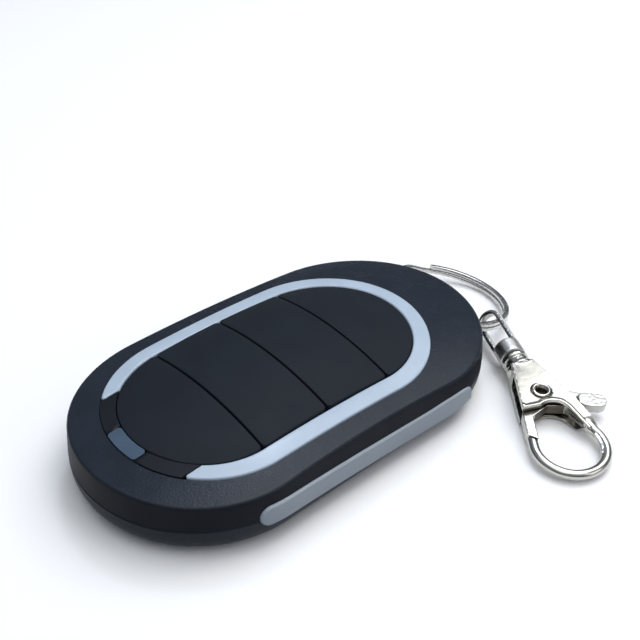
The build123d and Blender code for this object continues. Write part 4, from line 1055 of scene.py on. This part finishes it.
def hook_cutters():
    """What is cut from the clasp body: rivet's seat, thinned limb, side window and arch slot."""
    rim = RIVET_HEAD + SEAT_GAP
    seat = [(-SEAT_DEPTH, 0), (-SEAT_DEPTH, rim), (2 * SEAT_DEPTH, rim), (2 * SEAT_DEPTH, 0)]
    cutters = [turned(seat, rivet_frame(PLATE_HALF))]
    for way in (1, -1):
        rings = [[(x, y, way * z) for x, z in LIMB_WEDGE] for y in LIMB_WEDGE_SIDES]
        cutters.append(raw(*loft(rings, True, True), CLASP_FRAME))
    window = [(x, deep - side_at(x)) for x, deep in WINDOW]
    cutters.append(raw(*prism(window, -WINDOW_HALF, WINDOW_HALF), CLASP_FRAME))
    cutters.append(swept(arch_slot_path(), CLASP_FRAME, *ARCH_SLOT_BAR, NICKEL_CASTING))
    return cutters


def build_hook():
    """Clasp body: the solid's form with its collar, bead, rim bar and ridge, in one worn skin."""
    bar = 2 * HOOK_BAR_RADIUS
    forms = [cad_form("clasp_body", *hook_cutters()), turned(collar_profile(), CLASP_FRAME, True),
             swept(arch_bead_path(BEAD_INSET, BEAD_SINK), CLASP_FRAME, *BEAD_BAR, NICKEL_CASTING),
             swept(limb_bar_path(), CLASP_FRAME, bar, bar, HOOK_BAR_RADIUS - LIMB_BAR_FLAT, NICKEL_CASTING),
             swept(hook_ridge_path(), CLASP_FRAME, *RIDGE_BAR, NICKEL_CASTING)]
    hook = casting("clasp_hook", forms, HOOK_PASSES, HOOK_WEAR, NICKEL_CASTING, BODY_OF["clasp_body"],
                   "clasp_body")
    paint_arch_shade(hook, *HOOK_ARCH_SHADE)


def build_lever():
    """Gate, hub and thumb tab, the tab cut thinner from below."""
    form = cad_form("clasp_lever", raw(*prism(TAB_CUT, TAB_CUT_LOW, TAB_CUT_HIGH), CLASP_FRAME))
    lever = casting("clasp_gate", [form], LEVER_PASSES, LEVER_WEAR, NICKEL_CASTING, BODY_OF["clasp_lever"],
                    "clasp_lever")
    roughen_tab(lever)
    paint_arch_shade(lever, *LEVER_ARCH_SHADE)


def build_spring():
    """Leaf spring, held in the clasp body and bent by the lever."""
    spring = copy_piece("gate_leaf_spring", "clasp_spring", SPRING_STEEL, None)
    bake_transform(spring)


def build_rivet():
    """Tubular rivet."""
    rivet = turned(rivet_profile(), rivet_frame(), True)
    rivet.transform(Matrix.Scale(MM, 4))
    place_piece("clasp_tube_rivet", rivet, NICKEL_CASTING, BODY_OF["clasp_rivet"], ("clasp_rivet",),
                RIVET_SMOOTH_ANGLE)


build_ring()
build_eye()
build_hook()
build_lever()
build_spring()
build_rivet()


# Floor, lamps and camera

def pale_floor():
    """Floor that is white to the camera and in the metal, and a mid grey card to all other light."""
    material, tree, surface, _ = finish("white_paper_floor", "#f4f6f8", Roughness=0.7)
    surface.inputs["Specular IOR Level"].default_value = 0.1
    path = put(tree, "ShaderNodeLightPath")
    seen = put(tree, "ShaderNodeMath", {0: path.outputs["Is Camera Ray"], 1: path.outputs["Is Glossy Ray"]},
               operation="MAXIMUM")
    colour = put(tree, "ShaderNodeMix", {"Factor": seen.outputs[0]}, data_type="RGBA")
    colour.inputs["A"].default_value = linear("#7f868e")
    colour.inputs["B"].default_value = linear("#ffffff")
    tree.links.new(colour.outputs["Result"], surface.inputs["Base Color"])
    half = 3000
    corners = [(x * half, y * half, 0) for x, y in ((-1, -1), (1, -1), (1, 1), (-1, 1))]
    floor = shown("floor", metre_mesh("floor", corners, [(0, 1, 2, 3)]))
    floor.data.materials.append(material)


def lamp(name, place_mm, aim_mm, size_mm, power, colour="#ffffff"):
    """A soft rectangular lamp aimed at a point, with its power in watts."""
    light = bpy.data.lights.new(name, "AREA")
    light.shape = "RECTANGLE"
    light.size, light.size_y = size_mm[0] * MM, size_mm[1] * MM
    light.energy = power
    light.color = linear(colour)[:3]
    holder = shown(name, light)
    holder.location = Vector(place_mm) * MM
    holder.rotation_euler = (Vector(aim_mm) - Vector(place_mm)).to_track_quat("-Z", "Y").to_euler()


def studio():
    """White sky for the camera, one that darkens to the horizon for the object, and soft lamps."""
    world = bpy.data.worlds.new("studio")
    bpy.context.scene.world = world
    world.use_nodes = True
    tree = world.node_tree
    tree.nodes.clear()
    path = put(tree, "ShaderNodeLightPath")
    way = put(tree, "ShaderNodeSeparateXYZ", {"Vector": put(tree, "ShaderNodeTexCoord").outputs["Generated"]})
    rise = put(tree, "ShaderNodeMapRange", {"Value": way.outputs["Z"]},
               {"From Min": 0.05, "From Max": 0.55, "To Min": 0.06, "To Max": 0.36})
    soft = put(tree, "ShaderNodeBackground", {"Strength": rise.outputs["Result"]},
               {"Color": linear("#dfe8f6")})
    white = put(tree, "ShaderNodeBackground", values={"Color": linear("#ffffff"), "Strength": 1.0})
    mix = put(tree, "ShaderNodeMixShader",
              {0: path.outputs["Is Camera Ray"], 1: soft.outputs[0], 2: white.outputs[0]})
    put(tree, "ShaderNodeOutputWorld", {"Surface": mix.outputs[0]})
    lamp("back_softbox", (-5, 215, 400), (0, 0, 0), (254, 380), 0.93)
    lamp("spark_lamp", (-143, 149, 379), (0, -15, 8), (60, 60), 0.22, "#d4e4ff")
    lamp("top_softbox", (60, -20, 430), (0, 0, 0), (440, 440), 0.87)
    lamp("right_softbox", (380, 160, 220), (10, 10, 0), (260, 260), 0.25)


def aim_camera():
    """Camera at the photograph's angle."""
    level = cos(CAMERA_ELEVATION)
    back = Vector((sin(CAMERA_AZIMUTH) * level, -cos(CAMERA_AZIMUTH) * level, sin(CAMERA_ELEVATION)))
    right = Vector((cos(CAMERA_AZIMUTH), sin(CAMERA_AZIMUTH), 0))
    up = back.cross(right)
    straight, tilt = cos(CAMERA_ROLL), sin(CAMERA_ROLL)
    right, up = right * straight + up * tilt, up * straight - right * tilt
    x, y, z = [distance * MM for distance in CAMERA_PLACE]
    camera = shown("camera", bpy.data.cameras.new("camera"))
    camera.data.lens = CAMERA_LENS
    camera.data.clip_start = 5 * MM
    camera.matrix_world = Matrix(((right.x, up.x, back.x, x), (right.y, up.y, back.y, y),
                                  (right.z, up.z, back.z, z), (0, 0, 0, 1)))
    bpy.context.scene.camera = camera


pale_floor()
studio()
aim_camera()
bpy.context.scene.view_settings.view_transform = "Standard"
